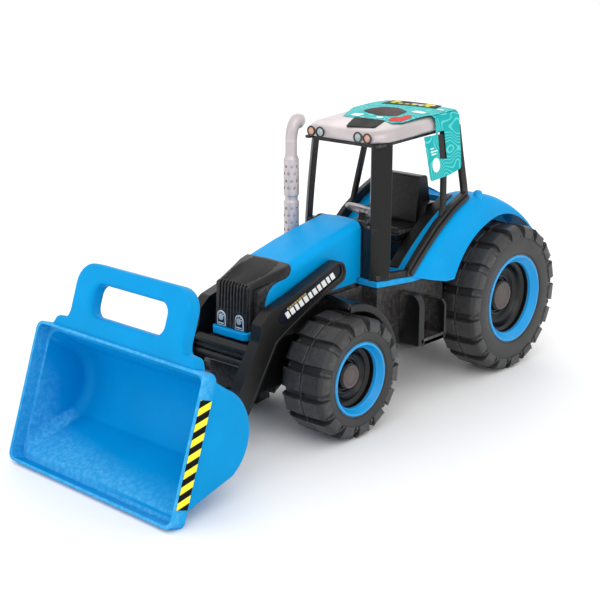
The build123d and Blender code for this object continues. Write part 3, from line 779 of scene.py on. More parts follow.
def arm_solid():
    outline = rounded(ARM_CORNERS, ARM_RADII, 6)
    solid = prism(outline, ARM_IN, ARM_OUT)
    face = max(solid.faces, key=lambda f: f.calc_center_median().y)
    bmesh.ops.inset_region(solid, faces=[face], thickness=1.9, depth=0.0)
    bmesh.ops.inset_region(solid, faces=[face], thickness=0.5, depth=-0.8)
    pocket = prism(stadium(-0.5, 84, 6.2), ARM_OUT - 2.0, ARM_OUT + 3)
    return less(solid, pocket)


def label_bars():
    """Generic slanting bars in place of lettering: a white row and a thin gold row over part of it."""
    white, gold = [], []
    lean = 1.3
    at = 9.0
    for width in (4.6, 3.6, 4.8, 4.2, 4.6, 3.8, 4.8, 4.4, 3.6, 4.8, 4.2):
        outline = [(at, -4.3), (at + width, -4.3), (at + width + lean, 1.9), (at + lean, 1.9)]
        white.append(prism([label_point(a, b) for a, b in outline], ARM_OUT - 1.75, ARM_OUT - 1.35))
        at += width + 1.7
    at = 46.0
    for width in (2.6, 2.0, 2.8, 2.2, 2.6, 2.0, 2.6, 2.2):
        outline = [(at, 2.6), (at + width, 2.6), (at + width + 0.5, 4.4), (at + 0.5, 4.4)]
        gold.append(prism([label_point(a, b) for a, b in outline], ARM_OUT - 1.75, ARM_OUT - 1.35))
        at += width + 0.8
    return join(*white), join(*gold)


def arms():
    for side_name, side in SIDES:
        solid = arm_solid()
        label = prism(stadium(0.6, 82.8, 5.2), ARM_OUT - 2.2, ARM_OUT - 1.65)
        white, gold = label_bars()
        if side < 0:
            for bm in (solid, label, white, gold):
                flip(bm)
        piece("arm_shape_" + side_name, solid, "loader_arms", "black_plastic", ["arm_" + side_name],
              bevel=0.7,
              auto=33)
        replaced = ["arm_labels"] if side > 0 else []
        piece("arm_label_" + side_name, label, "loader_arms", "label_print", replaced, bevel=0.2, segments=2)
        piece("arm_bars_" + side_name, white, "loader_arms", "label_print", look="print_white")
        piece("arm_dashes_" + side_name, gold, "loader_arms", "label_print", look="print_gold")


def crossbar():
    """Bar between the arms, with long ridges on its face and a round bar below."""
    low, high = node_box("arm_crossbar")
    x0, x1, z0, z1 = low.x, high.x, low.z, high.z
    steps = [(x0, z0 + 4), (x0, z1), (x0 + 3, z1 + 0.8), (x1 - 2.2, z1 - 0.4), (x1, z1 - 2.6), (x1, z1 - 5.2),
             (x1 - 1.2, z1 - 5.8), (x1 - 1.2, z1 - 7.4), (x1, z1 - 8.0), (x1, z1 - 10.2),
             (x1 - 1.4, z1 - 11.0)]
    bar = prism(rounded(steps, 0.6, 3), -ARM_IN, ARM_IN)
    tube = prism(arc(x0 + 4.4, z0 - 0.6, 4.2, 0, 345, 23), -ARM_IN, ARM_IN)
    piece("crossbar_ridged", join(bar, tube), "loader_arms", "black_plastic", ["arm_crossbar"], bevel=0.5)


def pins():
    """Plain lift pin that ends under the labels, and the CAD tilt pins."""
    low, high = node_box("lift_pin")
    x, z = (low.x + high.x) / 2, (low.z + high.z) / 2
    shaft = prism(arc(x, z, 3.0, 0, 348, 29), -ARM_OUT + 3, ARM_OUT - 3)
    piece("lift_pin_plain", shaft, "tractor", "black_pin", ["lift_pin"], bevel=0.5)
    keep_node("bucket_pins", "black_pin", 0.6)


# ---------------------------------------------------------------- bucket
TOP_EDGE = Vector((234.5, 0, 113.8))
MOUTH_LEAN = math.radians(18.96)
MOUTH_TALL = 117.0
BUCKET_HALF, RIM_HALF, SKIN = 96.5, 99.3, 2.6


def on_mouth(y, up, out):
    """Point in the mouth's frame: y across, up from the top edge, out along the mouth's normal."""
    return (TOP_EDGE.x - up * math.sin(MOUTH_LEAN) + out * math.cos(MOUTH_LEAN), y,
            TOP_EDGE.z + up * math.cos(MOUTH_LEAN) + out * math.sin(MOUTH_LEAN))


def bucket_outline(grow, reach=0.0):
    """Side outline: straight top, round back and flat floor; reach carries it out past the mouth."""
    radius = 41.0 + grow
    back = arc(226, 57, radius, 118, 238, 26)
    lip = Vector((272.5, 3.2 - grow))
    top = Vector((234.5, 113.8 + grow))
    out = Vector((math.cos(MOUTH_LEAN), math.sin(MOUTH_LEAN))) * reach
    if reach:
        return back + [tuple(lip), tuple(lip + out), tuple(top + out), tuple(top)]
    return back + [tuple(lip), tuple(top)]


def rim_outline(half, low, high, radius):
    return rounded([(half, low), (half, high), (-half, high), (-half, low)], radius, 6)


def bucket():
    outside = prism(bucket_outline(0), -BUCKET_HALF, BUCKET_HALF)
    bevelled(outside, 5.0, angle=50, segments=4, pick=lambda at: abs(at.y) > BUCKET_HALF - 1)
    band = prism(rim_outline(RIM_HALF, -MOUTH_TALL, 0.0, 7.0), 0, -13, lambda a, b, d: on_mouth(a, b, d))
    shell = plus(outside, band)
    room = prism(bucket_outline(-SKIN, 25), SKIN - BUCKET_HALF, BUCKET_HALF - SKIN)
    bevelled(room, 9.0, angle=50, segments=5, pick=lambda at: abs(at.y) > BUCKET_HALF - SKIN - 1)
    shell = less(shell, room)
    throat = prism(rim_outline(BUCKET_HALF + 0.2, 2.4 - MOUTH_TALL, -2.4, 6.0), -11.5, 30, on_mouth)
    shell = less(shell, throat)
    shell = less(shell, prism([(180, -20), (300, -20), (300, 0.05), (180, 0.05)], -120, 120))
    piece("bucket_shell", shell, "bucket", "blue_bucket", ["bucket"], bevel=0.9, auto=38)


def handle():
    """Carrying handle: stepped root, round-cornered hoop and a finger gap with wide soft edges."""
    foot = 1.2
    corners = [(84, -12), (84, foot), (80, foot + 7), (68, foot + 8), (66, foot + 14), (66, foot + 55),
               (-66, foot + 55), (-66, foot + 14), (-68, foot + 8), (-80, foot + 7), (-84, foot), (-84, -12)]
    radii = [0, 3, 5, 4, 5, 18, 18, 5, 4, 5, 3, 0]
    hoop = prism(rounded(corners, radii, 7), -2.0, -16.0, on_mouth)
    bevelled(hoop, 4.6, angle=50, segments=5)
    gap = prism(rounded([(43, foot + 14.5), (43, foot + 40), (-43, foot + 40), (-43, foot + 14.5)], 9, 7),
                6, -24, on_mouth)
    body = less(hoop, gap)

    def at_gap(at):
        across = abs(at.y) < 46
        up = (at.z - TOP_EDGE.z) / math.cos(MOUTH_LEAN)
        return across and 8 < up < 46

    bevelled(body, 4.2, angle=50, segments=5, pick=at_gap)
    below = prism(bucket_outline(-0.4), -100, 100)
    body = less(body, below)
    piece("handle_hoop", body, "bucket", "blue_bucket", ["bucket_handle"], auto=50)


def lugs_of_bucket():
    keep_node("bucket_lugs", "blue_bucket", 1.0)


def hazard_tape():
    """Striped tape on the band at both sides: black ground under leaning yellow bars."""
    length, width, lean = 82.0, 11.5, 6.5
    top = -19.0
    for side_name, side in SIDES:
        def on_band(a, b, depth, side=side):
            x, _, z = on_mouth(0, top - b, -0.8 - a)
            return (x, side * (RIM_HALF + depth), z)

        ground = prism([(0, 0), (width, 0), (width, length), (0, length)], 0.02, 0.22, on_band)
        nodes = ["hazard_strips"] if side > 0 else []
        piece("tape_ground_" + side_name, ground, "bucket", "hazard_print", nodes, look="print_black")
        bars = []
        count = 7
        pitch = length / count
        for k in range(-1, count + 1):
            start = k * pitch
            shape = [(0, start + lean), (width, start), (width, start + pitch * 0.5),
                     (0, start + lean + pitch * 0.5)]
            cut = clip_band(shape, 0, length)
            if len(cut) > 2:
                bars.append(prism(cut, 0.1, 0.3, on_band))
        piece("tape_bars_" + side_name, join(*bars), "bucket", "hazard_print")


def clip_band(shape, low, high):
    """Part of a polygon whose second coordinate lies between two limits."""
    for limit, keep_above in ((low, True), (high, False)):
        result = []
        for k, point in enumerate(shape):
            previous = shape[k - 1]
            inside = point[1] >= limit if keep_above else point[1] <= limit
            was_inside = previous[1] >= limit if keep_above else previous[1] <= limit
            if inside != was_inside:
                share = (limit - previous[1]) / (point[1] - previous[1])
                result.append((previous[0] + share * (point[0] - previous[0]), limit))
            if inside:
                result.append(point)
        shape = result
        if not shape:
            break
    return shape


# ---------------------------------------------------------------- cab
RAIL_IN, RAIL_OUT = 50.0, 57.0


def bowed_post(foot, head, half_wide, thick, facing, bow, steps=10):
    """Convex corner plate between two points, bowed a little along its height."""
    rings = []
    out = Vector((math.cos(facing), math.sin(facing), 0))
    across = Vector((-math.sin(facing), math.cos(facing), 0))
    for k in range(steps + 1):
        s = k / steps
        centre = Vector(foot) * (1 - s) + Vector(head) * s + out * bow * math.sin(math.pi * s)
        ring = []
        for j in range(-5, 6):
            u = j / 5
            ring.append(tuple(centre + across * half_wide * u + out * (1.8 * (1 - u * u) + thick / 2)))
        for j in range(5, -6, -1):
            u = j / 5
            ring.append(tuple(centre + across * half_wide * u + out * (1.0 * (1 - u * u) - thick / 2)))
        rings.append(ring)
    return loft(rings)


def flat_post(points, deep, wide):
    """Post through several centres, with a rounded oblong section."""
    rings = []
    for x, y, z in points:
        outline = rounded([(x - deep / 2, y - wide / 2), (x + deep / 2, y - wide / 2),
                           (x + deep / 2, y + wide / 2), (x - deep / 2, y + wide / 2)],
                           min(deep, wide) * 0.3, 3)
        rings.append([(a, b, z) for a, b in outline])
    return loft(rings)


def flat_ring(x, y, wide):
    """Upright oblong across the foot sill at one station."""
    half = wide / 2
    return [(x, y - half, 119), (x, y + half, 119), (x, y + half, 124.6), (x, y - half, 124.6)]


def cab_side_solid():
    corner = bowed_post((-31.0, 42.9, 119.2), (-38.0, 38.0, 241), 9.3, 5.0, math.radians(47), 1.2)
    foot = loft([flat_ring(-24.5, 42.5, 6), flat_ring(-34, 44.0, 7), flat_ring(-64, 53.5, 7)])
    outer = [(-60, 119.2), (-82, 137.7), (-101, 152.9), (-123.5, 167.9), (-146, 177.2)]
    inner = [(-141, 185), (-120, 176), (-95.5, 161.3), (-76, 144.8), (-57, 127.5), (-54, 119.2)]
    radii = [2, 30, 60, 60, 0, 2, 40, 40, 40, 8, 2]
    rail = prism(rounded(outer + inner, radii, 4), RAIL_IN + 1, RAIL_OUT - 0.2)
    lip_out = [(-60, 119.2), (-80.5, 138.1), (-99.5, 153.5), (-122.5, 168.9), (-145, 178.4)]
    lip_in = [(-142.4, 181.8), (-121, 172.4), (-97.2, 157.2), (-77.6, 141.0), (-57.5, 123)]
    lip = prism(rounded(lip_out + lip_in, [2, 30, 60, 60, 0, 2, 40, 40, 40, 2], 4), RAIL_OUT - 1,
                RAIL_OUT + 1.4)
    middle = flat_post([(-106.5, 53.2, 162), (-110, 52.6, 176), (-115, 48.4, 208), (-119.5, 43, 244)], 6.2,
                       4.4)
    back = flat_post([(-143, 53.2, 178), (-141.8, 51.8, 192), (-140.8, 47.6, 218), (-140.5, 43, 246)], 7.6,
                     4.8)
    gusset = prism(rounded([(-123, 167), (-143, 176), (-143, 196), (-139, 185), (-130, 178)],
                           [0, 0, 1, 4, 4]), 51.4,
                   54.4)
    top = prism([(-28, 237.2), (-143, 243), (-143, 246), (-28, 240)], 38.5, 43.5)
    return join(corner, foot, rail, lip, middle, back, gusset, top)


def cab():
    for side_name, side in SIDES:
        solid = cab_side_solid()
        if side < 0:
            flip(solid)
        piece("cab_posts_" + side_name, solid, "tractor", "black_plastic", ["cab_side_" + side_name],
              bevel=0.6,
              segments=2, auto=40)
    keep_node("cab_rails", "black_plastic", 0.6)
    dash()


def dash():
    """Dash: arched hoop behind the hood with angled walls out to the corner plates."""
    hoop_out = rounded([(40, 119.1), (40, 150), (27.4, 170.6), (-27.4, 170.6), (-40, 150), (-40, 119.1)],
                       [0, 14, 9, 9, 14, 0], 6)
    hoop_in = rounded([(24.5, 100), (24.5, 166.4), (-24.5, 166.4), (-24.5, 100)], [0, 6, 6, 0], 6)
    wall = less(prism(hoop_out, -29.6, -26.2, along_x), prism(hoop_in, -40, -20, along_x))
    cheeks = []
    for side in (1, -1):
        plan = [(-26.4, 27.0), (-24.6, 38.6), (-28.4, 43.6), (-33, 43), (-33, 27.0)]
        cheek = prism(rounded(plan, [1, 2, 2, 1, 1], 3), 119.1, 166, along_z)
        if side < 0:
            flip(cheek)
        cheeks.append(cheek)
    shelf = prism(rounded([(-26.4, 25), (-26.4, -25), (-44, -22), (-44, 22)], 3), 163.5, 167.0, along_z)
    piece("dash_wall", join(wall, shelf, *cheeks), "tractor", "black_plastic", ["cab_dash"], bevel=0.8,
          auto=40)


ROOF_FRONT, ROOF_REAR, ROOF_HALF = -24.6, -146.4, 47.5
ROOF_LINE = [(-20, 248.6), (-30, 251.4), (-45, 253.8), (-60, 255.8), (-90, 259.0), (-120, 260.6),
             (-150, 261.0)]


def roof_height(x):
    """Top of the roof's middle line."""
    for (x0, z0), (x1, z1) in zip(ROOF_LINE, ROOF_LINE[1:]):
        if x >= x1:
            return z0 + (z1 - z0) * (x - x0) / (x1 - x0)
    return ROOF_LINE[-1][1]


def roof_surface(x, y, lift=0.0):
    """Point on the crowned roof."""
    return (x, y, roof_height(x) - 1.4 * (abs(y) / ROOF_HALF) ** 2.6 + lift)


def roof():
    """Crowned roof shell: rounded plan, full edge, hollow underneath."""
    front, rear, half = ROOF_FRONT, ROOF_REAR, ROOF_HALF

    def plan(shrink, corner, steps=10):
        corners = [(front - shrink, half - shrink), (rear + shrink, half - shrink),
                   (rear + shrink, shrink - half), (front - shrink, shrink - half)]
        return rounded(corners, [corner + 3, corner, corner, corner + 3], steps)

    def low(x):
        return 240.6 + 6.0 * (front - x) / (front - rear)

    rings = []
    for shrink, share in ((3.2, -1), (2.6, 0.0), (0.9, 0.02), (0.1, 0.16), (0.0, 0.34), (0.7, 0.60),
                          (2.2, 0.80),
                          (4.6, 0.93), (8.0, 0.985), (13, 1.0)):
        ring = []
        for x, y in plan(shrink, max(3, 18 - shrink)):
            top = roof_surface(x, y)[2]
            ring.append((x, y, low(x) + share * (top - low(x)) if share >= 0 else top - 4.0))
        rings.append(ring)
    for shrink in (22, 32, 41):
        rings.append([roof_surface(x, y) for x, y in plan(shrink, max(1.5, 18 - shrink / 2.4))])
    piece("roof_shell", loft(rings), "tractor", "silver_plastic", ["roof"], auto=60)


def draped(outline, lift, thick=0.35, grid=4.0):
    """Thin plate with a given plan, cut into small faces and laid on the roof."""
    bm = bmesh.new()
    bm.faces.new([bm.verts.new((x, y, 0)) for x, y in outline])
    low = [min(p[k] for p in outline) for k in (0, 1)]
    high = [max(p[k] for p in outline) for k in (0, 1)]
    for k, normal in ((0, (1, 0, 0)), (1, (0, 1, 0))):
        at = low[k] + grid
        while at < high[k]:
            origin = (at, 0, 0) if k == 0 else (0, at, 0)
            geometry = bm.verts[:] + bm.edges[:] + bm.faces[:]
            bmesh.ops.bisect_plane(bm, geom=geometry, plane_co=origin, plane_no=normal)
            at += grid
    for vert in bm.verts:
        vert.co = roof_surface(vert.co.x, vert.co.y, lift)
    bmesh.ops.recalc_face_normals(bm, faces=bm.faces)
    if sum(f.normal.z for f in bm.faces) < 0:
        bmesh.ops.reverse_faces(bm, faces=bm.faces)
    shell = bmesh.ops.extrude_face_region(bm, geom=bm.faces[:])
    for vert in [g for g in shell["geom"] if isinstance(g, bmesh.types.BMVert)]:
        vert.co.z += thick
    bmesh.ops.recalc_face_normals(bm, faces=bm.faces)
    return bm


def roof_prints():
    """Printed card on the roof in plain shapes, and the dark panel at the front."""
    ground = [(-59, -25), (-92, -41), (-126, -43), (-140, -40), (-136.5, 45.6), (-100, 45.6), (-97, 43),
              (-84, 41),
              (-64, 40), (-57, 34), (-60, 20), (-57, -2)]
    piece("roof_card", draped(ground, 0.1), "tractor", "card_print", ["roof_sticker"], auto=50)
    band = [(-118, -28), (-141, -33), (-140, 26), (-124, 31)]
    piece("roof_card_band", draped(band, 0.5), "tractor", "card_print", look="print_black", auto=50)
    swoosh = rounded([(-60, 25), (-63, 36.5), (-73, 38), (-88, 33), (-84, 27.5), (-76, 29), (-74, 21)], 4, 3)
    piece("roof_card_swoosh", draped(swoosh, 0.5), "tractor", "card_print", look="print_red", auto=50)
    panel = rounded([(-31.5, 2), (-38.5, 29), (-60, 23), (-59, -11)], 1.5, 2)
    piece("roof_panel", draped(panel, 0.3), "tractor", "card_print", look="print_black", auto=50)
    blob = rounded([(-82, -22), (-104, -14), (-106, 2), (-96, 20), (-78, 22), (-72, 6), (-76, -8)], 6, 3)
    piece("roof_card_patch", draped(blob, 0.5), "tractor", "card_print", look="print_maroon", auto=50)
    gold = []
    for k in range(6):
        y = -22 + 8 * k
        gold.append(draped([(-124, y), (-124.5, y + 4.6), (-128, y + 4.2), (-127.4, y + 0.4)], 0.9, 0.2))
    for y in (-28, 12):
        gold.append(draped([(-131, y), (-131, y + 11), (-137, y + 10), (-137, y + 1)], 0.9, 0.2))
    piece("roof_card_gold", join(*gold), "tractor", "card_print", look="print_yellow", auto=50)
    whites = []
    for x, y, long, wide in ((-66, -14, 9, 12), (-100, 30, 8, 14), (-122, 38, 5, 7), (-131, 8, 2.5, 20),
                             (-66, 12, 5, 7)):
        whites.append(draped(rounded([(x - long / 2, y - wide / 2), (x + long / 2, y - wide / 2),
                                      (x + long / 2, y + wide / 2), (x - long / 2, y + wide / 2)],
                                     min(long, wide) * 0.4, 4), 0.75, 0.2))
    piece("roof_card_marks", join(*whites), "tractor", "card_print", look="print_white", auto=50)


TAG_LEAN, TAG_HINGE_Y, TAG_HINGE_Z = 6, 47.9, 258


def hang_tag():
    """Card folded over the roof's edge: a leaning panel with a window for the post, and a plain disc."""
    lean = math.radians(TAG_LEAN)

    def on_card(a, b, depth):
        """Point on the card: along the toy, up, and out from the card's face."""
        drop = TAG_HINGE_Z - b
        return (a, TAG_HINGE_Y + drop * math.sin(lean) + depth, TAG_HINGE_Z - drop * math.cos(lean))

    outline = [(-82.5, 241.5), (-88.5, 202), (-90.5, 201), (-116.5, 203), (-133.5, 206.5), (-135.5, 209),
               (-136.5, 256), (-100, 256), (-100, 241.5)]
    panel = prism(rounded(outline, [1, 1, 1, 2, 3, 3, 0, 0, 0], 3), 0, 0.5, on_card)
    window = prism(rounded([(-102.5, 244), (-103.5, 219.5), (-114.5, 218), (-112.5, 244)], 1, 2), -3, 3,
                   on_card)
    panel = less(panel, window)
    fold = []
    for x in (-100, -118, -136.5):
        top = roof_surface(x, 44)[2]
        fold.append([(x, 43.0, top + 0.4), (x, 46.5, top - 1.0), (x, 48.3, top - 4.4), (x, 48.6, 255.4),
                     (x, 48.1, 255.4), (x, 47.8, top - 4.2), (x, 46.2, top - 1.4), (x, 43.0, top + 0.1)])
    piece("tag_panel", join(panel, loft(fold)), "tractor", "card_print", ["hang_tag"], auto=50)
    disc = prism([(-97.5 + 5.6 * math.cos(a), 214.6 + 6.6 * math.sin(a)) for a in turns(30)],
                 0.4, 0.7, on_card)
    piece("tag_disc", disc, "tractor", "card_print", look="print_white")
    strokes = []
    for row, (start, end) in enumerate(((-95.6, -90.2), (-100.6, -91), (-98.6, -92))):
        z = 229.5 - 2.6 * row
        strokes.append(prism([(start, z), (end, z - 0.4), (end, z + 0.7), (start, z + 1.1)], 0.4, 0.6,
                             on_card))
    piece("tag_strokes", join(*strokes), "tractor", "card_print", look="print_white")
    hook = prism(rounded([(-102, 241), (-103, 219), (-115, 217.6), (-113, 241)], 1.2, 2), -1.2, -0.4, on_card)
    piece("tag_clip", hook, "tractor", "black_plastic", bevel=0.2)


def roof_lamps():
    """Printed lamps in dark bezels on the roof's front edge."""
    for tag, look, radius in (("clear", "lamp_clear", 4.5), ("amber", "lamp_amber", 4.3)):
        low, high = node_box("roof_lamps_" + tag)
        centre_y = high.y - (high.z - low.z) / 2
        z = (low.z + high.z) / 2
        bezels, lenses = [], []
        for side in (1, -1):
            front = high.x - 0.4
            ring = lathe_x([(radius, front - 1.4), (radius + 0.5, front - 0.2), (radius + 0.1, front + 0.4),
                            (radius - 0.7, front + 0.3), (radius - 1.0, front - 0.6),
                            (radius - 1.0, front - 1.4)],
                           side * centre_y, z)
            dome = lathe_x([(0.01, front - 1.4), (radius - 0.9, front - 1.4), (radius - 0.9, front - 0.4),
                            (radius * 0.55, front + 0.3), (0.01, front + 0.6)], side * centre_y, z)
            bezels.append(ring)
            lenses.append(dome)
        slot = "lamp_" + tag
        piece("lamp_bezel_" + tag, join(*bezels), "tractor", slot, look="black_pin", auto=50)
        piece("lamp_lens_" + tag, join(*lenses), "tractor", slot, ["roof_lamps_" + tag], look=look, auto=50)


def seat():
    """Seat: rounded cushion, shoulders and a narrower backrest, with a panel line down each side."""
    base = prism(rounded([(-138, 119), (-92, 119), (-85, 143), (-138, 143)], [0, 0, 3, 0]), -23, 23)
    cushion = prism(rounded([(-138, 143), (-82, 143), (-77, 148), (-81, 155), (-138, 152)], 3), -24, 24)
    shoulders = prism(rounded([(-140, 146), (-114, 148), (-119, 172), (-138, 172)], 4), -27, 27)
    back = prism(rounded([(-137, 152), (-111, 152), (-116, 197.5), (-128, 197.5)], 4), -20.5, 20.5)
    pad = prism(rounded([(17, 157), (17, 192), (-17, 192), (-17, 157)], 4), -118.5, -113.2,
                lambda a, b, d: (d - 0.11 * (b - 157), a, b))
    groove = prism([(-84, 149.6), (-76, 149.6), (-76, 150.4), (-84, 150.4)], -30, 30)
    cushion = less(cushion, groove)
    piece("seat_shape", join(base, cushion, shoulders, back, pad), "tractor", "black_plastic", ["seat"],
          bevel=1.6,
          auto=40)


def steering():
    """Steering wheel: round rim, four flat spokes and a stepped hub, in silver plastic."""
    joint = next(j for j in frame["record"]["behaviour"]["joints"] if j["name"] == "steering_turn")
    centre = Vector(joint["pos_m"]) / MM
    axis = Vector(joint["axis"]).normalized()
    turn = Vector((0, 0, 1)).rotation_difference(axis).to_matrix()

    def placed(bm):
        for vert in bm.verts:
            vert.co = turn @ vert.co + centre
        return bm

    radius, tube = 16.3, 1.9
    rings = []
    for a in turns(64):
        ring = []
        for b in turns(14):
            r = radius + tube * math.cos(b)
            ring.append((r * math.cos(a), r * math.sin(a), tube * math.sin(b)))
        rings.append(ring)
    rim_part = loft(rings + rings[:1], cap=False)
    spokes = []
    for k in range(4):
        a = math.pi / 4 + k * math.pi / 2
        sections = []
        for r, wide, lift in ((3.5, 2.0, 0.6), (8, 1.3, 0.0), (12, 1.2, -0.2), (15.6, 1.7, 0)):
            c, s = math.cos(a), math.sin(a)
            sections.append([(r * c - w * s, r * s + w * c, lift + h) for w, h in
                             ((-wide, -0.8), (wide, -0.8), (wide * 0.7, 0.9), (-wide * 0.7, 0.9))])
        spokes.append(loft(sections))
    hub_part = lathe_z([(2.1, -2.8), (5, -2.8), (5, 1.6), (4.2, 2.6), (3.6, 2.9), (2.1, 2.9)], 0, 0, 32)
    whole = placed(join(rim_part, hub_part, *spokes))
    piece("steering_ring", whole, "steering_wheel", "silver_plastic", ["steering_wheel"], bevel=0.3,
          segments=2)
    keep_node("steering_column", "black_plastic", 0.4)


# ---------------------------------------------------------------- blue rear body
TOP_ARCS = [[(-61, 119), (-101, 153), (-144, 177.3)], [(-144, 177.3), (-172, 176.8), (-200, 168)],
            [(-200, 168), (-229, 152.5), (-254, 133)]]
HOUSING_IN, FENDER_HALF, INNER_HALF = 28.0, 61.5, 52.0


def arc_through(first, middle, last, steps):
    """Points of the arc through three points."""
    a, b, c = Vector(first), Vector(middle), Vector(last)
    d = 2 * (a.x * (b.y - c.y) + b.x * (c.y - a.y) + c.x * (a.y - b.y))
    ux = (a.length_squared * (b.y - c.y) + b.length_squared * (c.y - a.y) + c.length_squared * (a.y - b.y)) / d
    uy = (a.length_squared * (c.x - b.x) + b.length_squared * (a.x - c.x) + c.length_squared * (b.x - a.x)) / d
    centre = Vector((ux, uy))
    start, end = a - centre, c - centre
    turn = math.atan2(start.x * end.y - start.y * end.x, start.dot(end))
    return [tuple(centre + Matrix.Rotation(turn * k / steps, 2) @ start) for k in range(steps + 1)]


def resample(points, count):
    """Evenly spaced points along a line of points."""
    lengths = [0.0]
    for first, second in zip(points, points[1:]):
        lengths.append(lengths[-1] + (Vector(second) - Vector(first)).length)
    result = []
    for k in range(count):
        target = lengths[-1] * k / (count - 1)
        index = max(i for i in range(len(points) - 1) if lengths[i] <= target + 1e-9)
        share = (target - lengths[index]) / max(1e-9, lengths[index + 1] - lengths[index])
        result.append(Vector(points[index]).lerp(Vector(points[index + 1]), share))
    return result


def housing_top():
    """Line along the top of a wheel housing, from the door's foot to the tail."""
    top = []
    for three in TOP_ARCS:
        top += arc_through(*three, 14)[:-1]
    return top + [TOP_ARCS[-1][-1]]


def fender_solid():
    """Wheel housing as one swelling skin: inner wall, round top, bulging side and the arch's lip."""
    count = 64
    arch_x, arch_z, arch_radius = REAR.x + 7.5, REAR.z + 1, REAR.radius + 9.5
    start_angle = math.degrees(math.asin((106 - arch_z) / arch_radius))
    low = [(-61, 118.6), (-84, 112), (-106, 106.4), (-114, 106)]
    low += arc(arch_x, arch_z, arch_radius, start_angle, 137, 40)
    top_points, low_points = resample(housing_top(), count), resample(low, count)
    rings = []
    for upper, lower in zip(top_points, low_points):
        drop = upper - lower
        depth = drop.length
        down = drop.normalized() if depth > 0.5 else Vector((0, 1))
        swell = min(1.0, depth / 26)
        spread = 0.55 + 0.45 * swell
        edge_in = FENDER_HALF - 3.0
        section = [(HOUSING_IN, 4.0), (HOUSING_IN, 0.6), (HOUSING_IN + 1.0, 0.0), (38, -0.6), (48, -0.4),
                   (FENDER_HALF - 7.5, 0.5), (FENDER_HALF - 4.2, 2.2), (FENDER_HALF - 1.8, 5.2),
                   (FENDER_HALF - 0.5, 9.5)]
        ring = []
        for y, sink in section:
            sink = sink * swell if sink > 0 else sink
            point = upper - down * min(sink, depth * 0.8)
            y_here = y if y < INNER_HALF else INNER_HALF + (y - INNER_HALF) * spread
            ring.append((point.x, y_here, point.y))
        for share, bulge in ((0.55, 0.0), (0.75, 0.0), (0.9, 0.2), (0.97, 0.9)):
            fall = max(9.5 * swell, depth * share)
            point = upper - down * min(fall, depth)
            y_here = INNER_HALF + (FENDER_HALF + bulge * swell - INNER_HALF) * spread
            ring.append((point.x, y_here, point.y))
        for y, back in ((FENDER_HALF + 0.6, 0.0), (edge_in, 0.0), (edge_in - 0.4, 2.5)):
            point = lower + down * min(back, depth * 0.4)
            y_here = INNER_HALF + (y - INNER_HALF) * spread
            ring.append((point.x, y_here, point.y))
        inner_top = upper - down * min(3.2, depth * 0.6)
        for y in (INNER_HALF, 31.0):
            ring.append((inner_top.x, y, inner_top.y))
        rings.append(ring)
    skin = loft(rings)
    knob = lathe_z([(0.01, 168), (4.6, 168), (4.2, 179), (3.6, 181), (2.2, 182), (0.01, 182.3)], -163, 54, 28)
    return skin, knob


def inner_wall():
    """Wheel housing's inner wall between the cab and the wheel."""
    outline = [(x, z - 1.0) for x, z in housing_top()] + [(-252, 119), (-61, 119)]
    return prism(outline, HOUSING_IN, HOUSING_IN + 2.5)


def fenders():
    for side_name, side in SIDES:
        skin, knob = fender_solid()
        solid = join(skin, knob, inner_wall())
        if side < 0:
            flip(solid)
        piece("fender_skin_" + side_name, solid, "tractor", "blue_body", ["fender_" + side_name], auto=48)


def liner():
    """Black lining over the inner part of each wheel housing, beside the seat."""
    top = arc_through(*TOP_ARCS[0], 24)
    for side_name, side in SIDES:
        rings = []
        for x, z in top[1:]:
            rings.append([(x, side * y, z + rise) for y, rise in
                          ((26.8, -16), (26.8, 0.6), (27.6, 1.5), (37.4, 1.5), (38.6, 0.9), (38.6, -0.8),
                           (29.2, -0.8),
                           (29.2, -16))])
        piece("seat_lining_" + side_name, loft(rings), "tractor", "black_plastic", bevel=0.4, segments=2,
              auto=40)


def floor_pan():
    """The CAD cab floor, with softened edges."""
    keep_node("cab_floor", "blue_body", 1.2)


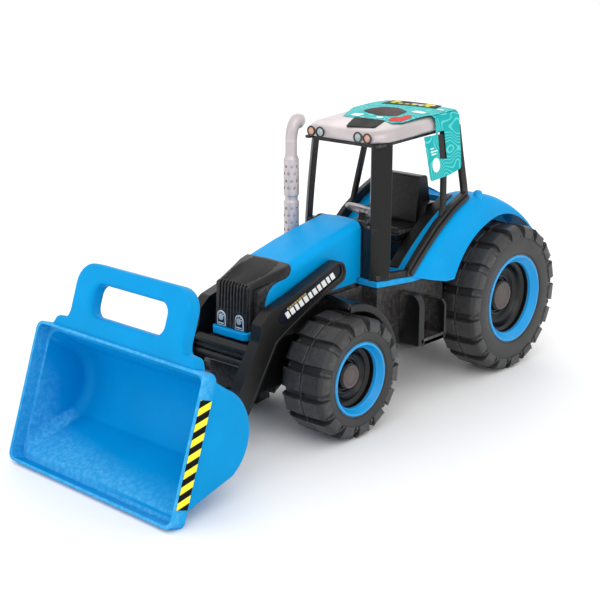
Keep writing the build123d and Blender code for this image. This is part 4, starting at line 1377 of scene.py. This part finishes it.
# ---------------------------------------------------------------- exhaust
def exhaust():
    """Silver stack: perforated sleeves with a ring between, a neck and a flared outlet that turns back."""
    low, high = node_box("exhaust_stack")
    x, y = (low.x + high.x) / 2, low.y + 6.8
    bottom = [(0.01, 149.6), (6.4, 149.6), (6.9, 150.6), (6.9, 184), (6.5, 185), (5.8, 185.8), (5.8, 189),
              (6.4, 189.8), (6.9, 190.8), (6.9, 222), (6.4, 223.6), (5.6, 225), (5.3, 227), (5.2, 240),
              (4.2, 240), (0.01, 240)]
    body = lathe_z(bottom, x, y, 48)
    holes = []
    for row, z in enumerate((216.5, 210, 203.5, 197, 178.5, 172, 165.5, 159)):
        for column in range(8):
            a = 2 * math.pi * (column + 0.5 * (row % 2)) / 8
            centre = Vector((x + 6.9 * math.cos(a), y + 6.9 * math.sin(a), z))
            out = Vector((math.cos(a), math.sin(a), 0))
            across = Vector((-math.sin(a), math.cos(a), 0))
            rings = []
            for depth in (1.5, -1.6):
                rings.append([tuple(centre + out * depth + across * 1.25 * math.cos(t) +
                                    Vector((0, 0, 1.25 * math.sin(t))))
                              for t in turns(12)])
            holes.append(loft(rings))
    body = less(body, join(*holes))
    piece("exhaust_sleeves", body, "tractor", "silver_plastic", ["exhaust_stack"], bevel=0.25, segments=2,
          auto=40)
    bracket = prism(rounded([(x - 4, y + 2), (x + 4, y + 2), (x + 5, -27.4), (x - 5, -27.4)], 1), 150.5,
                    157.5, along_z)
    piece("exhaust_bracket", bracket, "tractor", "silver_plastic", bevel=0.8)
    rings = []
    bend = 13.0
    for k in range(15):
        s = k / 14
        turn = math.radians(112) * s
        centre = Vector((x - bend * (1 - math.cos(turn)) * 0.62, y,
                         238.5 + bend * math.sin(turn) * 1.3 + 0.6 * s))
        along = Vector((-math.sin(turn), 0, math.cos(turn)))
        across = Vector((0, 1, 0))
        up = along.cross(across)
        radius = 5.3 + 1.5 * s ** 1.5
        rings.append([tuple(centre + (across * math.cos(t) + up * math.sin(t)) * radius)
                      for t in turns(28)])
    mouth = rings[-1]
    centre = sum((Vector(p) for p in mouth), Vector()) / len(mouth)
    inner = [tuple(centre.lerp(Vector(p), 0.8)) for p in mouth]
    deep_centre = sum((Vector(p) for p in rings[-4]), Vector()) / len(mouth)
    deep = [tuple(deep_centre.lerp(Vector(p), 0.72)) for p in rings[-4]]
    piece("exhaust_outlet", loft(rings + [inner, deep]), "tractor", "silver_plastic", ["exhaust_tip"],
          auto=50)


# ---------------------------------------------------------------- chassis and steps
GUARD_IN, GUARD_OUT = 27.6, 72.0
STEP_IN, STEP_OUT = 47.0, 70.0


def wheel_guard():
    """Shell over the front wheel with a turned-down outer edge, and the panel inside it."""
    shell = FRONT.radius + 10.2
    section = [(shell - 3, GUARD_IN), (shell, GUARD_IN), (shell, 50), (shell, GUARD_OUT - 3.5),
               (shell - 0.5, GUARD_OUT - 1), (shell - 1.8, GUARD_OUT), (shell - 6.2, GUARD_OUT),
               (shell - 6.8, GUARD_OUT - 0.7), (shell - 6.2, GUARD_OUT - 1.6), (shell - 3.2, GUARD_OUT - 2.2),
               (shell - 3, 50)]
    rings = []
    for k in range(29):
        ring = []
        for r, y in section:
            start = 99 - 11 * min(1, max(0, (y - 40) / 30))
            angle = math.radians(start + (171 - start) * k / 28)
            ring.append((FRONT.x + r * math.cos(angle), y, FRONT.z + r * math.sin(angle)))
        rings.append(ring)
    cover = loft(rings)
    lip_rings = []
    for y in (GUARD_IN + 1, 40, 55, GUARD_OUT - 1.5):
        start = math.radians(99 - 11 * min(1, max(0, (y - 40) / 30)))
        lip_rings.append([(FRONT.x + r * math.cos(start - turn), y, FRONT.z + r * math.sin(start - turn))
                          for r, turn in ((shell + 0.4, -0.04), (shell + 1.2, 0.0), (shell - 3.4, 0.035),
                                          (shell - 4.2, -0.02))])
    lip = loft(lip_rings)
    wall = [(-24, 75), (-24, 113)] + arc(FRONT.x, FRONT.z, shell - 1, 109, 160, 14)
    panel = prism(wall, GUARD_IN, GUARD_IN + 2)
    backing = prism([(-20, 80), (-20, 118), (60, 118), (92, 104), (92, 80)], 22.6, 25.1)
    return join(cover, lip, panel, backing)


def footstep():
    """Wall with a round shoulder, ribbed tread tray and a back flap."""
    wall = prism(rounded([(STEP_IN, 56), (STEP_OUT, 56), (STEP_OUT, 104), (STEP_IN, 104)], [0, 2, 18, 0],
                         8), -64, -56,
                 along_x)
    tray = prism([(-94, 56), (-64, 56), (-64, 60), (-94, 60)], STEP_IN, STEP_OUT)
    lip = prism(rounded([(-96, 56), (-60, 56), (-60, 62.4), (-96, 62.4)], 1), STEP_OUT - 1.8, STEP_OUT)
    flap = prism(rounded([(STEP_IN, 56), (STEP_OUT, 56), (STEP_OUT, 93), (STEP_IN, 93)], [0, 2, 7, 0], 6),
                 -97, -94,
                 along_x)
    ribs = []
    for k in range(6):
        x = -90 + 4.6 * k
        ribs.append(prism([(x, 59.5), (x + 1.6, 59.5), (x + 1.3, 60.8), (x + 0.3, 60.8)], STEP_IN + 2,
                          STEP_OUT - 3))
    web = prism([(-94, 60), (-64, 60), (-64, 92), (-70, 92), (-94, 66)], STEP_IN, STEP_IN + 2)
    return join(wall, tray, lip, flap, web, *ribs)


def chassis():
    for name in ("chassis_front", "chassis_middle", "chassis_rear"):
        keep_node(name, "black_plastic", 1.2)
    keep_node("tow_hitch", "black_plastic", 0.8)
    keep_node("body_screws", "steel", 0)
    for side_name, side in SIDES:
        guard, step = wheel_guard(), footstep()
        if side < 0:
            flip(guard)
            flip(step)
        piece("guard_made_" + side_name, guard, "tractor", "black_plastic", ["guard_" + side_name],
              bevel=0.6, auto=40)
        piece("step_made_" + side_name, step, "tractor", "black_plastic", ["step_" + side_name], bevel=1.0,
              auto=40)


# ---------------------------------------------------------------- studio
CAMERA_LENS, CAMERA_SENSOR = 78, 36
CAMERA_YAW, CAMERA_PITCH = 222.55, 16.39
CAMERA_PLACE = (837.5, 744.8, 428.5)
WORLD_STRENGTH = 1.04
# Soft lamps: place, target, size and power.
LAMPS = {
    "key": ((0.9, 1.1, 1.5), (0, 0, 0.1), (1.6, 1.6), 9),
    "front": ((1.8, -0.4, 0.8), (0.1, 0, 0.08), (1.2, 0.8), 3),
    "rear": ((-1.4, -1.2, 1.4), (0, 0, 0.12), (1.4, 1.2), 5),
}


def camera():
    """Camera at the front left, a little above the roof, looking down on the toy."""
    data = bpy.data.cameras.new("camera")
    data.lens = CAMERA_LENS
    data.sensor_width = CAMERA_SENSOR
    cam = bpy.data.objects.new("camera", data)
    bpy.context.scene.collection.objects.link(cam)
    yaw, pitch = math.radians(CAMERA_YAW), math.radians(CAMERA_PITCH)
    look = Vector((math.cos(yaw) * math.cos(pitch), math.sin(yaw) * math.cos(pitch), -math.sin(pitch)))
    cam.rotation_euler = look.to_track_quat("-Z", "Y").to_euler()
    cam.location = Vector(CAMERA_PLACE) * MM
    bpy.context.scene.camera = cam


def area_light(name, place, target, size, power):
    data = bpy.data.lights.new(name, "AREA")
    data.shape = "RECTANGLE"
    data.size, data.size_y = size
    data.energy = power
    obj = bpy.data.objects.new(name, data)
    obj.location = place
    obj.rotation_euler = (Vector(target) - Vector(place)).to_track_quat("-Z", "Y").to_euler()
    bpy.context.scene.collection.objects.link(obj)


def studio():
    """Pale floor, white surroundings and three soft lamps."""
    bpy.ops.mesh.primitive_plane_add(size=60)
    ground = bpy.context.object
    ground.name = "floor"
    n = Nodes("floor_paint")
    n.link(n.mix(n.noise(3), srgb(251, 251, 252), srgb(253, 253, 253)), n.shader.inputs["Base Color"])
    n.shader.inputs["Roughness"].default_value = 0.6
    n.shader.inputs["Specular IOR Level"].default_value = 0.2
    ground.data.materials.append(n.material)
    world = bpy.data.worlds.new("surroundings")
    bpy.context.scene.world = world
    world.use_nodes = True
    sky = world.node_tree.nodes["Background"]
    sky.inputs["Color"].default_value = (1, 1, 1, 1)
    sky.inputs["Strength"].default_value = WORLD_STRENGTH
    for name, (place, target, size, power) in LAMPS.items():
        area_light(name, place, target, size, power)
    bpy.context.scene.view_settings.view_transform = "Standard"


def main():
    camera()
    studio()
    wheels()
    hood()
    nose()
    headlights()
    arms()
    crossbar()
    pins()
    bucket()
    handle()
    lugs_of_bucket()
    hazard_tape()
    cab()
    roof()
    roof_prints()
    hang_tag()
    roof_lamps()
    seat()
    steering()
    fenders()
    floor_pan()
    liner()
    exhaust()
    chassis()


main()
